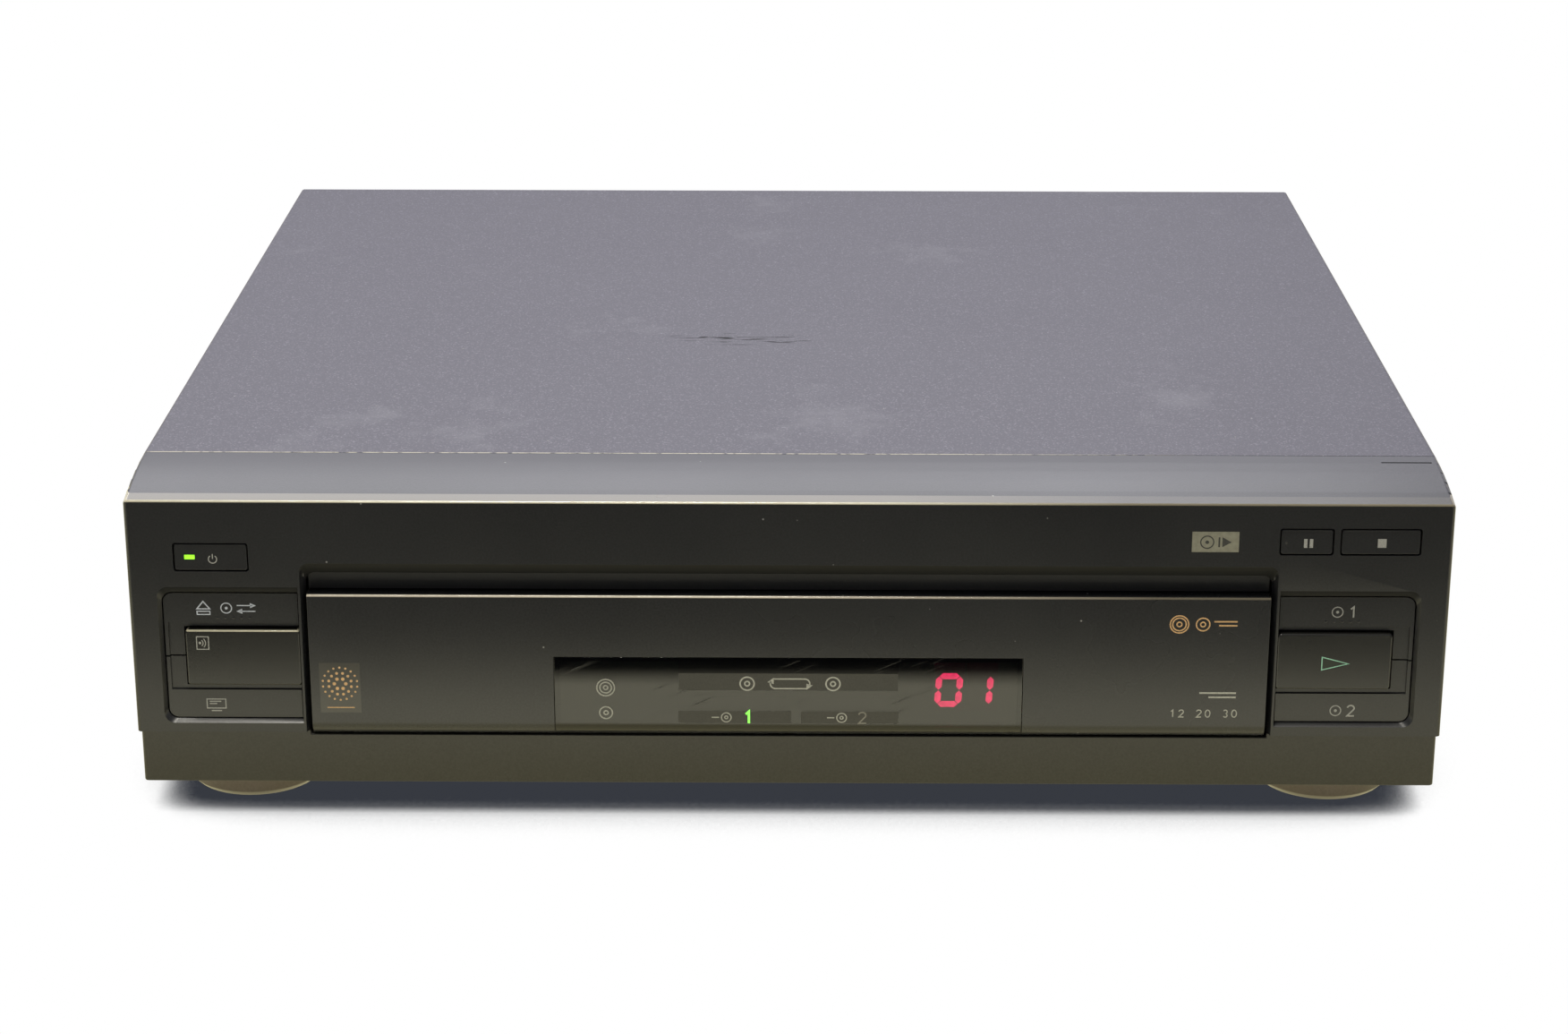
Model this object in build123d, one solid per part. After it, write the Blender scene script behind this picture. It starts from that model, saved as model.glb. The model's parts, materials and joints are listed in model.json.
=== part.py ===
from build123d import *
import math
import os

# A full-width laserdisc player with a front-loading tray, playing both sides
# of the disc.  Millimetres; X to the right, Y to the back, Z up.  The origin
# is under the middle of the case, on the surface that the feet stand on.

os.makedirs("parts", exist_ok=True)

# ---------------------------------------------------------------- sizes
# Disc and tray
disc_radius = 150.0
disc_thickness = 2.6
well_play = 2.0            # room round the disc in the tray's well
well_margin = 20.0         # fascia face to the front of the well
rim_width = 4.0            # tray beside the well at its widest
rim_height = 4.7           # rim above the well's floor
well_floor = 2.5           # thickness under the disc
small_well_radius = 61.0   # shallow well for the five-inch disc
small_well_depth = 1.2
slot_half = 21.5           # slot in the tray for spindle and pickup
tray_tail = 6.0            # tray behind the well
arm_width = 11.0           # side arms that stay in the guides
arm_length = 55.0
tray_travel = 310.0

# Stack of the case
foot_height = 12.0
foot_radius = 23.0
foot_inset_x = 33.0        # foot centre to the case's side
foot_inset_y = 37.0        # foot centre to the fascia's face
pad_radius = 15.0
pad_depth = 2.0
pad_proud = 0.8
floor_sheet = 1.2
cover_sheet = 1.0
cover_bend = 1.5
board_room = 29.8          # chassis floor to deck
deck_sheet = 1.5
axis_height = 30.8         # deck to the middle plane of the disc
head_room = 2.1            # turnover drum to cover
side_bay = 58.0            # tray's side to the case's side

# Fascia
fascia_wall = 2.5
band_depth = 37.4          # curved top band, front edge to seam
band_rise = 4.2
seam_gap = 0.35            # open joint between the band and the cover
edge_radius = 0.8
corner_radius = 1.6
plinth_height = 18.7
plinth_setback = 2.3
plinth_inset = 0.7
mouth_gap = 0.6            # tray front to the mouth's side
mouth_bevel = 1.4
mouth_depth = 5.0
mouth_corner = 3.0
lip_rise = 4.8             # bevel above the mouth
flap_height = 6.0          # space above the tray front
tray_front_depth = 8.0
tray_front_drop = 1.2      # tray front below the fascia's bottom edge
front_overhang = 1.0       # tray front wider than the tray
nose_height = 5.0          # rounded lower edge of the tray front
nose_setback = 3.2
front_lip = 0.5            # tray front above the tray's rim
window_half = 77.0
window_low = 1.5           # window above the tray front's lower edge
window_height = 26.8
window_wall = 2.0
window_gap = 0.15

# Keys in the fascia
key_gap = 0.45
key_travel = 1.5
key_corner = 0.8
key_soft = 0.4             # rounded edge of a small key's face
small_setback = 0.3        # small key behind the face
key_setback = 1.5
key_flange = 1.0
flange_wall = 1.2
web = 0.8                  # fascia left between mouth and keys
key_bay_side = 10.4        # key bay to the case's side
key_bay_low = 4.3          # key bay above the fascia's bottom edge
key_bay_height = 44.5
bay_bevel = 1.1
bay_top_bevel = 2.2
bay_corner = 3.5
bar_height = 19.4
bar_rise = 12.3            # bar above the bay's bottom
bar_end_gap = 7.3          # bar's end to the bay's side
bar_gap = 0.6
recess_margin = 2.1        # shallow recess of the keys round the bar
recess_edge = 1.2
recess_depth = 0.8
slit = 0.5
power_width = 23.6
power_height = 9.0
power_inset = 27.5
power_rise = 92.0
play_inset = 10.8
pause_width = 16.7
stop_width = 25.4
pause_height = 8.4
pause_rise = 98.6
divider = 2.0
badge_width = 15.2
badge_height = 7.0
badge_gap = 13.6           # badge to the pause key
badge_sheet = 0.5
light_width = 3.4
light_height = 1.55
light_x = 6.9              # light to the middle of the power key
light_gap = 0.05
board_sheet = 1.6
board_setback = 14.0
switch_side = 6.0
switch_depth = 3.4
plunger_radius = 1.6
plunger_proud = 1.0
stem_radius = 2.0
stem_gap = 0.1

# Deck, guides and loading drive
guide_wall = 3.0
guide_gap = 0.4
guide_lip = 2.0
guide_reach = 4.0
guide_start = 18.0
load_module = 1.5
load_teeth = 14
wheel_module = 1.0
wheel_teeth = 36
small_teeth = 14
pulley_radius = 19.0
motor_pulley_radius = 5.0
belt_side = 1.5
belt_play = 0.15
motor_reach = 48.0         # loading motor to pulley
motor_radius = 12.0
motor_length = 24.0
drive_y = 36.0             # drive wheel behind the fascia's face
wheel_drop = 6.5           # drive wheel under the rack
wheel_wall = 4.0
wheel_head = 0.6           # pinion's end to the tray
belt_rise = 5.5            # pulleys above the deck
pulley_wall = 5.0
pulley_rim = 1.2           # rim beside the belt
groove_play = 0.4
axle_radius = 2.0
axle_collar = 4.0
wheel_pin_radius = 2.5
wheel_collar = 3.2
collar_gap = 0.3
motor_shaft = 1.0
motor_boss = 3.5
overlap = 0.1              # depth to which joined features enter each other
rack_width = 4.5
rack_height = 6.0

# Spindle, clamp and pickup
platter_radius = 20.0
platter_wall = 2.3
platter_rise = 0.3         # platter above the well's floor
cone_radius = 7.3
cone_height = 4.0
spindle_radius = 16.5
spindle_wall = 11.0
spindle_plate = 1.5
spindle_lift = 8.0
lift_pin_radius = 2.0
lift_pin_x = 24.0
clamper_radius = 18.0
clamp_width = 30.0
clamp_sheet = 3.0
clamp_pin_radius = 2.0
sled_half = 22.0
sled_length = 40.0
sled_under = 4.3           # disc's middle plane to the sled's top
sled_height = 16.0
lens_radius = 3.5
lens_under = 2.8
lens_edge = 4.5            # lens centre to the sled's inner end
inner_radius = 25.0        # innermost place of the lens
rail_sheet = 2.0
rail_bite = 1.5
rail_gap = 0.3
rail_under = 13.3          # disc's middle plane to the rail
channel_wall = 3.0
channel_gap = 4.7          # sled's side to the channel's wall
channel_start = 18.0       # channel behind the spindle's axis
feed_module = 1.0
feed_teeth = 14
feed_wall = 3.7
feed_gap = 0.5
feed_x = 14.5
drum_radius = 37.0
drum_gap = 4.0             # tray's tail to the drum
drum_play = 2.5            # room at the sled's ends in the drum
drum_floor = 3.0
turn_module = 1.5
turn_teeth = 48
turn_pinion_teeth = 16
turn_wall = 5.0
hub_radius = 8.0
hub_length = 10.0
bracket_wall = 6.0
turn_motor_radius = 9.5
turn_motor_length = 26.0
rear_room = 9.0            # drum's hub to the rear panel

# Display behind the tray's window
module_depth = 4.5
digit_width = 10.0
digit_pitch = 11.0
digit_height = 17.0
digit_rise = 4.6           # digits above the window's lower edge
digit_inset = 7.7          # digits to the window's right end
lamp_half = 36.5
lamp_rise = 2.2
lamp_height = 6.8
lamp_split = 4.1           # dark web between the two lower lamps
lamp_shift = 1.25          # web's middle right of the window's
mark_rise = 13.0
mark_height = 9.0
display_margin = 6.0       # board beyond the window

# Electronics
main_rise = 6.0            # main board above the chassis
main_margin = 12.0
main_start = 75.0
main_end = 45.0
leg_radius = 3.0
leg_inset = 10.0
chip_rows = 3
chip_columns = 4
chip_pitch_x = 62.0
chip_pitch_y = 70.0
chip_start = 60.0          # first row before the spindle
chip_half = 9.0
chip_step = 3.0            # every second chip is larger
chip_height = 2.5
core_half = 17.0
core_length = 60.0
core_height = 50.0
coil_half = 15.0
coil_reach = 9.0
core_end = 110.0           # transformer before the rear panel
power_start = 120.0
power_end = 20.0
power_lift = 5.0
can_count = 3
can_radius = 9.0
can_pitch = 34.0
can_height = 23.4
can_step = 4.0
bay_margin = 9.5           # room between the guides and the power board's bay

# Rear sockets and bush
jack_reach = 8.0
jack_neck = 0.3            # barrel narrower inside the panel
jack_stand = 0.2           # full barrel starts this far behind the panel
jack_bore = 1.6
jack_bore_depth = 9.0
jack_root = 2.0
jack_place = 0.42          # share of the half width
jack_drop = 6.0            # lower row under the deck
jack_radius = 4.15
housing_margin = 9.0
housing_wall = 4.5
bush_place = 0.78          # share of the half width
bush_rise = 16.0
bush_radius = 7.0
bush_flange = 2.0
bush_proud = 4.0
bush_depth = 6.0
bush_bore = 3.6
vent_rows = 9
vent_columns = 2
vent_length = 40.0
vent_pitch_x = 50.0
vent_pitch_z = 5.0
vent_height = 2.0
vent_x = -60.0
vent_rise = 8.0
jack_pitch = 16.0
jack_columns = 3

# Fits
shaft_gap = 0.1
loose_gap = 0.4

# Teeth: twenty-degree involutes, cut short so that small pinions clear
tooth_angle = math.radians(20.0)
addendum = 0.8
dedendum = 1.1
tooth_slack = 0.18

# ---------------------------------------------------------------- layout
well_radius = disc_radius + well_play
tray_half = well_radius + rim_width
front_half = tray_half + front_overhang
mouth_half = front_half + mouth_gap
half_width = front_half + side_bay
rail_out = tray_half + guide_gap

spindle_depth = well_margin + well_radius
tail_depth = spindle_depth + well_radius + tray_tail
drum_depth = tail_depth + drum_gap
drum_length = sled_length + 2 * drum_play
hub_depth = drum_depth + drum_length + turn_wall
panel_depth = hub_depth + hub_length + rear_room
body_depth = panel_depth + cover_sheet
face = -(body_depth + jack_reach) / 2
spindle_y = face + spindle_depth
tail_y = face + tail_depth
drum_y = face + drum_depth
drum_end = drum_y + drum_length
hub_y = face + hub_depth
panel_y = face + panel_depth
back = panel_y + cover_sheet
seam_y = face + band_depth

floor_z = foot_height + floor_sheet
deck_low = floor_z + board_room
deck_z = deck_low + deck_sheet
axis_z = deck_z + axis_height
seat_z = axis_z - disc_thickness / 2
rim_z = seat_z + rim_height
under_z = seat_z - well_floor
turn_pitch = turn_teeth * turn_module / 2
cover_low = axis_z + turn_pitch + addendum * turn_module + head_room
top = cover_low + cover_sheet
edge_z = top - band_rise
fascia_low = foot_height + plinth_height
front_low = fascia_low - tray_front_drop
front_top = rim_z + front_lip
mouth_top = front_top + flap_height
lip_top = mouth_top + lip_rise

sled_rest = drum_y + drum_play + sled_length / 2
lens_rest = sled_rest - sled_length / 2 + lens_edge
sled_travel = lens_rest - spindle_y - inner_radius
sled_top = axis_z - sled_under
sled_low = sled_top - sled_height
feed_top = sled_low - feed_gap
feed_low = feed_top - feed_wall
feed_pitch = feed_teeth * feed_module / 2
rack_line = feed_x + feed_pitch
channel_in = sled_half + channel_gap
channel_out = channel_in + channel_wall


# ---------------------------------------------------------------- helpers
def block(x0, x1, y0, y1, z0, z1):
    """Box between two opposite corners."""
    centre = Pos((x0 + x1) / 2, (y0 + y1) / 2, (z0 + z1) / 2)
    return centre * Box(abs(x1 - x0), abs(y1 - y0), abs(z1 - z0))


def upright(x, y, radius, z0, z1):
    """Cylinder standing along Z."""
    return Pos(x, y, (z0 + z1) / 2) * Cylinder(radius, abs(z1 - z0))


def lengthwise(x, z, radius, y0, y1):
    """Cylinder lying along Y."""
    return Pos(x, (y0 + y1) / 2, z) * Rot(90, 0, 0) * Cylinder(radius, abs(y1 - y0))


def crosswise(y, z, radius, x0, x1):
    """Cylinder lying along X."""
    return Pos((x0 + x1) / 2, y, z) * Rot(0, 90, 0) * Cylinder(radius, abs(x1 - x0))


def plate_y(outline, y0, y1):
    """Face drawn in X and Z, made solid from y0 to y1."""
    return extrude(Plane.XZ.offset(-y0) * outline, amount=y0 - y1)


def plate_x(outline, x0, x1):
    """Face drawn in Y and Z, made solid from x0 to x1."""
    return extrude(Plane.YZ.offset(x0) * outline, amount=x1 - x0)


def round_plate(x0, x1, z0, z1, radius, y0, y1):
    """Upright plate with round corners, seen from the front."""
    outline = Pos((x0 + x1) / 2, (z0 + z1) / 2) * RectangleRounded(x1 - x0, z1 - z0, radius)
    return plate_y(outline, y0, y1)


def mirrored(solid):
    """The same piece on the other side of the case."""
    return mirror(solid, about=Plane.YZ)


def half_tooth(radius, teeth, module):
    """Half the angle that a tooth takes at a radius."""
    pitch = teeth * module / 2
    base = pitch * math.cos(tooth_angle)
    at_pitch = math.pi / (2 * teeth) - tooth_slack / (2 * pitch)
    here = math.acos(min(1.0, base / radius))
    return at_pitch + math.tan(tooth_angle) - tooth_angle - math.tan(here) + here


def gear(teeth, module, wall, phase=0.0):
    """Spur gear standing on z = 0, with a tooth centred on the phase in degrees."""
    pitch = teeth * module / 2
    root = pitch - dedendum * module
    tip = pitch + addendum * module
    start = max(root + 0.05 * module, pitch * math.cos(tooth_angle))
    radii = [start + (tip - start) * step / 3 for step in range(4)]
    points = []
    for tooth in range(teeth):
        middle = math.radians(phase) + 2 * math.pi * tooth / teeth
        rising = [(root, -half_tooth(start, teeth, module))]
        rising += [(radius, -half_tooth(radius, teeth, module)) for radius in radii]
        falling = [(radius, -angle) for radius, angle in reversed(rising)]
        for radius, angle in rising + falling:
            points.append((radius * math.cos(middle + angle), radius * math.sin(middle + angle)))
    return extrude(make_face(Polyline(*points, close=True)), amount=wall)


def rack(line_x, back_x, y0, y1, z0, z1, gap_y, module):
    """Toothed bar along Y, its teeth towards -X and a gap centred on gap_y."""
    step = math.pi * module
    half = step / 4 + tooth_slack / 2
    tip_x = line_x - addendum * module
    root_x = line_x + dedendum * module
    tip_half = half + addendum * module * math.tan(tooth_angle)
    root_half = half - dedendum * module * math.tan(tooth_angle)
    first = math.ceil((y0 - gap_y) / step) - 1
    last = math.floor((y1 - gap_y) / step) + 1
    start = gap_y + (first - 0.5) * step
    end = gap_y + (last + 0.5) * step
    points = [(back_x, start), (tip_x, start)]
    for tooth in range(first, last + 1):
        gap = gap_y + tooth * step
        points += [(tip_x, gap - tip_half), (root_x, gap - root_half)]
        points += [(root_x, gap + root_half), (tip_x, gap + tip_half)]
    points += [(tip_x, end), (back_x, end)]
    bar = Pos(0, 0, z0) * extrude(make_face(Polyline(*points, close=True)), amount=z1 - z0)
    return bar & block(tip_x - 1, back_x + 1, y0, y1, z0 - 1, z1 + 1)


def save(node, *pieces):
    """Write one sub-part, as one solid or a group of separate solids."""
    solids = [solid for piece in pieces for solid in piece.solids()]
    shape = solids[0] if len(solids) == 1 else Compound(children=solids)
    shape.label = node
    export_step(shape, f"parts/{node}.step")


# ---------------------------------------------------------------- case
tab_depth = 12.0
tab_start = seam_y + 26.0
tab_back = back - 30.0
case_screw_z = top - 10.0
rear_screw_z = top - 8.0
screw_radius = 1.5
screw_head = 4.0
screw_proud = 2.0
screw_hole = screw_radius + shaft_gap
wide_half = half_width - cover_sheet
narrow_half = half_width - plinth_inset - fascia_wall
flange_low = 27.0
flange_high = 40.0
step_y = seam_y + 2.8
skirt_y = face + plinth_setback + fascia_wall


def screw_spots():
    """Places of the cover's side screws along Y."""
    return [tab_start + tab_depth / 2, tab_back + tab_depth / 2]


def make_chassis():
    """Folded steel tray with a front flange, side flanges and tabs for the cover."""
    tray = block(-narrow_half, narrow_half, skirt_y, step_y, foot_height, floor_z)
    tray += block(-wide_half, wide_half, step_y, panel_y, foot_height, floor_z)
    tray += block(-narrow_half, narrow_half, skirt_y, skirt_y + floor_sheet, foot_height, flange_low)
    side = block(narrow_half - floor_sheet, narrow_half, skirt_y, step_y, foot_height, flange_low)
    side += block(wide_half - floor_sheet, wide_half, step_y, panel_y, foot_height, flange_high)
    for spot in screw_spots():
        tab = block(wide_half - floor_sheet, wide_half, spot - tab_depth / 2, spot + tab_depth / 2,
                    foot_height, cover_low - 1.0)
        side += tab - crosswise(spot, case_screw_z, screw_hole, wide_half - 4, wide_half + 4)
    tray += side + mirrored(side)
    for column in range(12):
        slot_x = (column - 5.5) * 7.0
        tray -= block(slot_x - 1.5, slot_x + 1.5, tail_y - 60, tail_y - 20, foot_height - 1, floor_z + 1)
    save("bottom_chassis", tray)


def make_cover():
    """Folded steel cover: the top and both sides."""
    outer = block(-half_width, half_width, seam_y + seam_gap, back, foot_height + 0.5, top)
    outer = fillet(outer.edges().filter_by(Axis.Y).group_by(Axis.Z)[-1], cover_bend)
    inner_half = half_width - cover_sheet
    inner = block(-inner_half, inner_half, seam_y - 1, back + 1, foot_height - 1, cover_low)
    inner = fillet(inner.edges().filter_by(Axis.Y).group_by(Axis.Z)[-1], cover_bend - cover_sheet)
    cover = outer - inner
    for spot in screw_spots():
        cover -= crosswise(spot, case_screw_z, screw_hole, -half_width - 1, half_width + 1)
    save("top_cover", cover)


def make_screws():
    """Cover screws on both sides and three in the rear panel."""
    screws = []
    for spot in screw_spots():
        head = crosswise(spot, case_screw_z, screw_head, half_width, half_width + screw_proud)
        head = fillet(head.edges().group_by(Axis.X)[-1], 0.8)
        screw = head + crosswise(spot, case_screw_z, screw_radius, half_width - 5, half_width)
        screws += [screw, mirrored(screw)]
    for x in rear_screw_spots():
        head = lengthwise(x, rear_screw_z, screw_head, back, back + screw_proud)
        screws.append(head + lengthwise(x, rear_screw_z, screw_radius, back - 5, back))
    save("case_screws", *screws)


def rear_screw_spots():
    """Places of the rear screws along X."""
    return [-half_width * 0.8, 0.0, half_width * 0.8]


flap_y = face + 7.2
flap_z = mouth_top + 1.8
flap_pin_radius = 1.0
bay_in = mouth_half + mouth_bevel + web
bay_out = half_width - key_bay_side
bay_low = fascia_low + key_bay_low
bay_top = bay_low + key_bay_height
band_slit_x = half_width - 19.5
band_slit_y = face + 31.0
band_slit_length = 16.6
band_slit_width = 0.8
boss_radius = 2.6


def make_fascia():
    """Moulded front with its curved top band, the mouth and the key openings."""
    radius = (band_depth ** 2 + band_rise ** 2) / (2 * band_rise)
    centre_z = top - radius

    def arc_z(depth, size):
        return centre_z + math.sqrt(size ** 2 - (band_depth - depth) ** 2)

    def section(offset, low, rear):
        """Side view of the shell's outside or, with an offset, of its hollow."""
        size = radius - offset
        middle = (offset + band_depth) / 2
        line = Line((face + offset, low), (face + offset, arc_z(offset, size)))
        arc = ThreePointArc((face + offset, arc_z(offset, size)),
                            (face + middle, arc_z(middle, size)),
                            (seam_y, arc_z(band_depth, size)))
        behind = [(rear, arc_z(band_depth, size))] if rear > seam_y else []
        rest = Polyline((seam_y, arc_z(band_depth, size)), *behind, (rear, low), (face + offset, low))
        return make_face(line + arc + rest)

    shell = plate_x(section(0, fascia_low, seam_y), -half_width, half_width)
    front_edges = shell.edges().filter_by(Axis.X).group_by(Axis.Y)[0].sort_by(Axis.Z)[-1]
    shell = fillet(front_edges, edge_radius)
    sides = shell.edges().filter_by(Axis.Z).group_by(Axis.Y)[0]
    shell = fillet(sides, corner_radius)
    hollow = plate_x(section(fascia_wall, fascia_low - 1, seam_y + 1),
                     -half_width + fascia_wall, half_width - fascia_wall)
    shell -= hollow
    # Mouth of the tray, with its bevelled surround
    surround = mouth_half + mouth_bevel
    shell += block(-surround - web, surround + web, face + fascia_wall, face + mouth_depth,
                   fascia_low, lip_top + 2.5)
    wide = Pos(0, (lip_top + fascia_low) / 2 - 20) * RectangleRounded(
        2 * surround, lip_top - fascia_low + 40, mouth_corner)
    narrow = Pos(0, (mouth_top + fascia_low) / 2 - 20) * RectangleRounded(
        2 * mouth_half, mouth_top - fascia_low + 40, mouth_corner)
    shell -= loft([Plane.XZ.offset(-face) * wide, Plane.XZ.offset(-face - mouth_depth) * narrow])
    shell -= plate_y(narrow, face - 1, face + mouth_depth + 1)
    # Lugs that carry the dust flap
    for side in (-1, 1):
        lug = block(side * (mouth_half + 0.3), side * (mouth_half + 3.0), face + fascia_wall, face + 9.5,
                    mouth_top - 0.5, lip_top + 2.5)
        shell += lug
    shell -= crosswise(flap_y, flap_z, flap_pin_radius + shaft_gap, -mouth_half - 2.4, mouth_half + 2.4)
    # Key bays either side of the mouth
    bay = bay_outline(0.0)
    for piece in (bay, mirrored(bay)):
        shell -= piece
    # Power, pause and stop keys
    for x0, x1, z0, z1 in (power_box(), pause_box(), stop_box()):
        shell -= round_plate(x0 - key_gap, x1 + key_gap, z0 - key_gap, z1 + key_gap, 1.0, face - 1, face + 3)
    # Shallow pocket for the badge and the slit in the top band
    x0, x1, z0, z1 = badge_box()
    shell -= block(x0, x1, face - 1, face + badge_sheet, z0, z1)
    shell -= block(band_slit_x, band_slit_x + band_slit_length, band_slit_y - band_slit_width / 2,
                   band_slit_y + band_slit_width / 2, top - 6, top + 1)
    # Bosses for the key boards
    for side in (-1, 1):
        for x, z in boss_spots():
            shell += lengthwise(side * x, z, boss_radius, face + fascia_wall - overlap, face + board_setback)
    save("front_fascia", shell)


def bay_outline(grow):
    """Opening for a pair of keys on the right, with its bevelled edge."""
    def corners(x1, z0, z1):
        outline = Pos((bay_in + x1) / 2, (z0 + z1) / 2) * Rectangle(x1 - bay_in, z1 - z0)
        outer = outline.vertices().group_by(Axis.X)[-1]
        return fillet(outer, bay_corner)
    near = corners(bay_out + bay_bevel, bay_low - bay_bevel, bay_top + bay_top_bevel)
    far = corners(bay_out, bay_low, bay_top)
    bevel = loft([Plane.XZ.offset(-face) * near, Plane.XZ.offset(-face - key_setback) * far])
    return bevel + plate_y(far, face + key_setback - 0.1, face + mouth_depth + 1)


def boss_spots():
    """Screw bosses behind the fascia, as X and Z on the right."""
    return [(half_width - 6.5, bay_low + 6.0), (half_width - 6.5, bay_top + 7.0), (bay_in + 3.5, bay_top + 8.0)]


def power_box():
    """Outline of the power key."""
    x = -half_width + power_inset
    half = power_width / 2
    return (x - half, x + half, power_rise - power_height / 2, power_rise + power_height / 2)


def stop_box():
    """Outline of the stop key."""
    x1 = half_width - play_inset
    return (x1 - stop_width, x1, pause_rise - pause_height / 2, pause_rise + pause_height / 2)


def pause_box():
    """Outline of the pause key."""
    x1 = half_width - play_inset - stop_width - divider - 2 * key_gap
    return (x1 - pause_width, x1, pause_rise - pause_height / 2, pause_rise + pause_height / 2)


def badge_box():
    """Outline of the badge."""
    x1 = pause_box()[0] - badge_gap
    return (x1 - badge_width, x1, pause_rise - badge_height / 2, pause_rise + badge_height / 2)


def make_plinth():
    """Strip under the fascia, set back a little, with short side returns."""
    half = half_width - plinth_inset
    strip = block(-half, half, face + plinth_setback, step_y, foot_height, fascia_low)
    strip = fillet(strip.edges().filter_by(Axis.Z).group_by(Axis.Y)[0], corner_radius)
    strip -= block(-half + fascia_wall, half - fascia_wall, skirt_y, step_y + 1, foot_height - 1, fascia_low + 1)
    strip -= block(-mouth_half - 0.4, mouth_half + 0.4, face, skirt_y + 1, front_low - 0.3, fascia_low + 1)
    strip -= block(-half - 1, half + 1, seam_y, step_y + 1, foot_height - 1, fascia_low + 1)
    save("plinth_strip", strip)


def make_feet():
    """Four round feet with rubber pads let into them."""
    feet = []
    pads = []
    for x in (-half_width + foot_inset_x, half_width - foot_inset_x):
        for y in (face + foot_inset_y, back - foot_inset_y):
            foot = upright(x, y, foot_radius, pad_proud, foot_height)
            foot = chamfer(foot.edges().group_by(Axis.Z)[0], 2.0)
            feet.append(foot - upright(x, y, pad_radius, pad_proud - 1, pad_depth))
            pads.append(upright(x, y, pad_radius, 0, pad_depth))
    save("feet", *feet)
    save("foot_pads", *pads)


# ---------------------------------------------------------------- keys and lights
key_front = face + key_setback
flange_front = face + mouth_depth + 0.1
flange_back = flange_front + flange_wall
plunger_y = face + board_setback - switch_depth - plunger_proud
stem_end = plunger_y - key_travel - stem_gap


def make_small_key(box):
    """Rectangular key with a flange behind the fascia's wall and a stem."""
    x0, x1, z0, z1 = box
    wall = face + fascia_wall
    cap = round_plate(x0, x1, z0, z1, key_corner, face + small_setback, wall + key_travel)
    cap = fillet(cap.edges().group_by(Axis.Y)[0], key_soft)
    cap += block(x0 - key_flange, x1 + key_flange, wall + stem_gap, wall + stem_gap + flange_wall,
                 z0 - key_flange, z1 + key_flange)
    return cap + lengthwise((x0 + x1) / 2, (z0 + z1) / 2, stem_radius, wall + 1, stem_end)


def make_keys():
    """Push keys of the fascia and the switches that they press."""
    power = make_small_key(power_box())
    x0, x1, z0, z1 = light_box()
    power -= block(x0, x1, face - 1, stem_end, z0, z1)
    save("power_button", power)
    save("power_light", block(x0 + light_gap, x1 - light_gap, face + small_setback + light_gap,
                              face + fascia_wall + key_travel, z0 + light_gap, z1 - light_gap))
    save("pause_button", make_small_key(pause_box()))
    save("stop_button", make_small_key(stop_box()))
    upper = make_bay_key(True)
    lower = make_bay_key(False)
    save("side_one_key", upper)
    save("side_two_key", lower)
    save("open_close_key", mirrored(upper))
    save("display_key", mirrored(lower))
    switches = []
    for x, z in switch_spots():
        body = block(x - switch_side / 2, x + switch_side / 2, face + board_setback - switch_depth,
                     face + board_setback, z - switch_side / 2, z + switch_side / 2)
        switches.append(body + lengthwise(x, z, plunger_radius, plunger_y, face + board_setback - 1))
    save("tact_switches", *switches)


def light_box():
    """Outline of the power light in the power key."""
    x0, x1, z0, z1 = power_box()
    middle = (x0 + x1) / 2 - light_x
    height = (z0 + z1) / 2
    half = light_width / 2
    return (middle - half, middle + half, height - light_height / 2, height + light_height / 2)


def bay_stem(upper):
    """Place of a bay key's stem on the right, in X and Z."""
    x = (bay_in + bay_out) / 2
    if upper:
        return (x, bay_top - 5.0)
    return (x, bay_low + 5.0)


def switch_spots():
    """Places of all the switches, in X and Z."""
    spots = []
    for x0, x1, z0, z1 in (power_box(), pause_box(), stop_box()):
        spots.append(((x0 + x1) / 2, (z0 + z1) / 2))
    for upper in (True, False):
        x, z = bay_stem(upper)
        spots += [(x, z), (-x, z)]
    return spots


def make_bay_key(upper):
    """L-shaped key that goes round the end of the middle bar, on the right."""
    bar_low = bay_low + bar_rise
    bar_top = bar_low + bar_height
    bar_out = bay_out - bar_end_gap
    middle = (bar_low + bar_top) / 2
    x0 = bay_in + key_gap
    x1 = bay_out - key_gap
    z0 = bay_low + key_gap
    z1 = bay_top - key_gap
    cap_outline = Pos((x0 + x1) / 2, (z0 + z1) / 2) * Rectangle(x1 - x0, z1 - z0)
    cap_outline = fillet(cap_outline.vertices().group_by(Axis.X)[-1], bay_corner - key_gap)
    cap = plate_y(cap_outline, key_front, flange_front + 0.05)
    cap -= block(bay_in - 1, x1 - recess_edge, face, key_front + recess_depth,
                 bar_low - recess_margin, bar_top + recess_margin)
    hole = block(bay_in - 1, bar_out + bar_gap, face - 1, face + 12, bar_low - bar_gap, bar_top + bar_gap)
    flange = block(x0 + 1.5, x1 + key_flange, flange_front, flange_back, z0 - key_flange, z1 + key_flange)
    if upper:
        keep = block(bay_in - 1, bay_out + 5, face, face + 12, middle + slit / 2, bay_top + 5)
    else:
        keep = block(bay_in - 1, bay_out + 5, face, face + 12, bay_low - 5, middle - slit / 2)
    key = ((cap + flange) - hole) & keep
    x, z = bay_stem(upper)
    return key + lengthwise(x, z, stem_radius, flange_back - overlap, stem_end)


def make_bars():
    """Fixed middle bars: a smoked lens on the left and a lit one on the right."""
    bar_low = bay_low + bar_rise
    bar = round_plate(bay_in, bay_out - bar_end_gap, bar_low, bar_low + bar_height, 1.2, face, face + 6)
    edge = bar.edges().group_by(Axis.Y)[0]
    bar = fillet(edge, 0.7)
    x = (bay_in + bay_out - bar_end_gap) / 2
    z = bar_low + bar_height / 2
    bar += block(x - 5, x + 5, face + 5, face + board_setback, z - 4, z + 4)
    save("play_bar", bar)
    save("sensor_bar", mirrored(bar))


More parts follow.
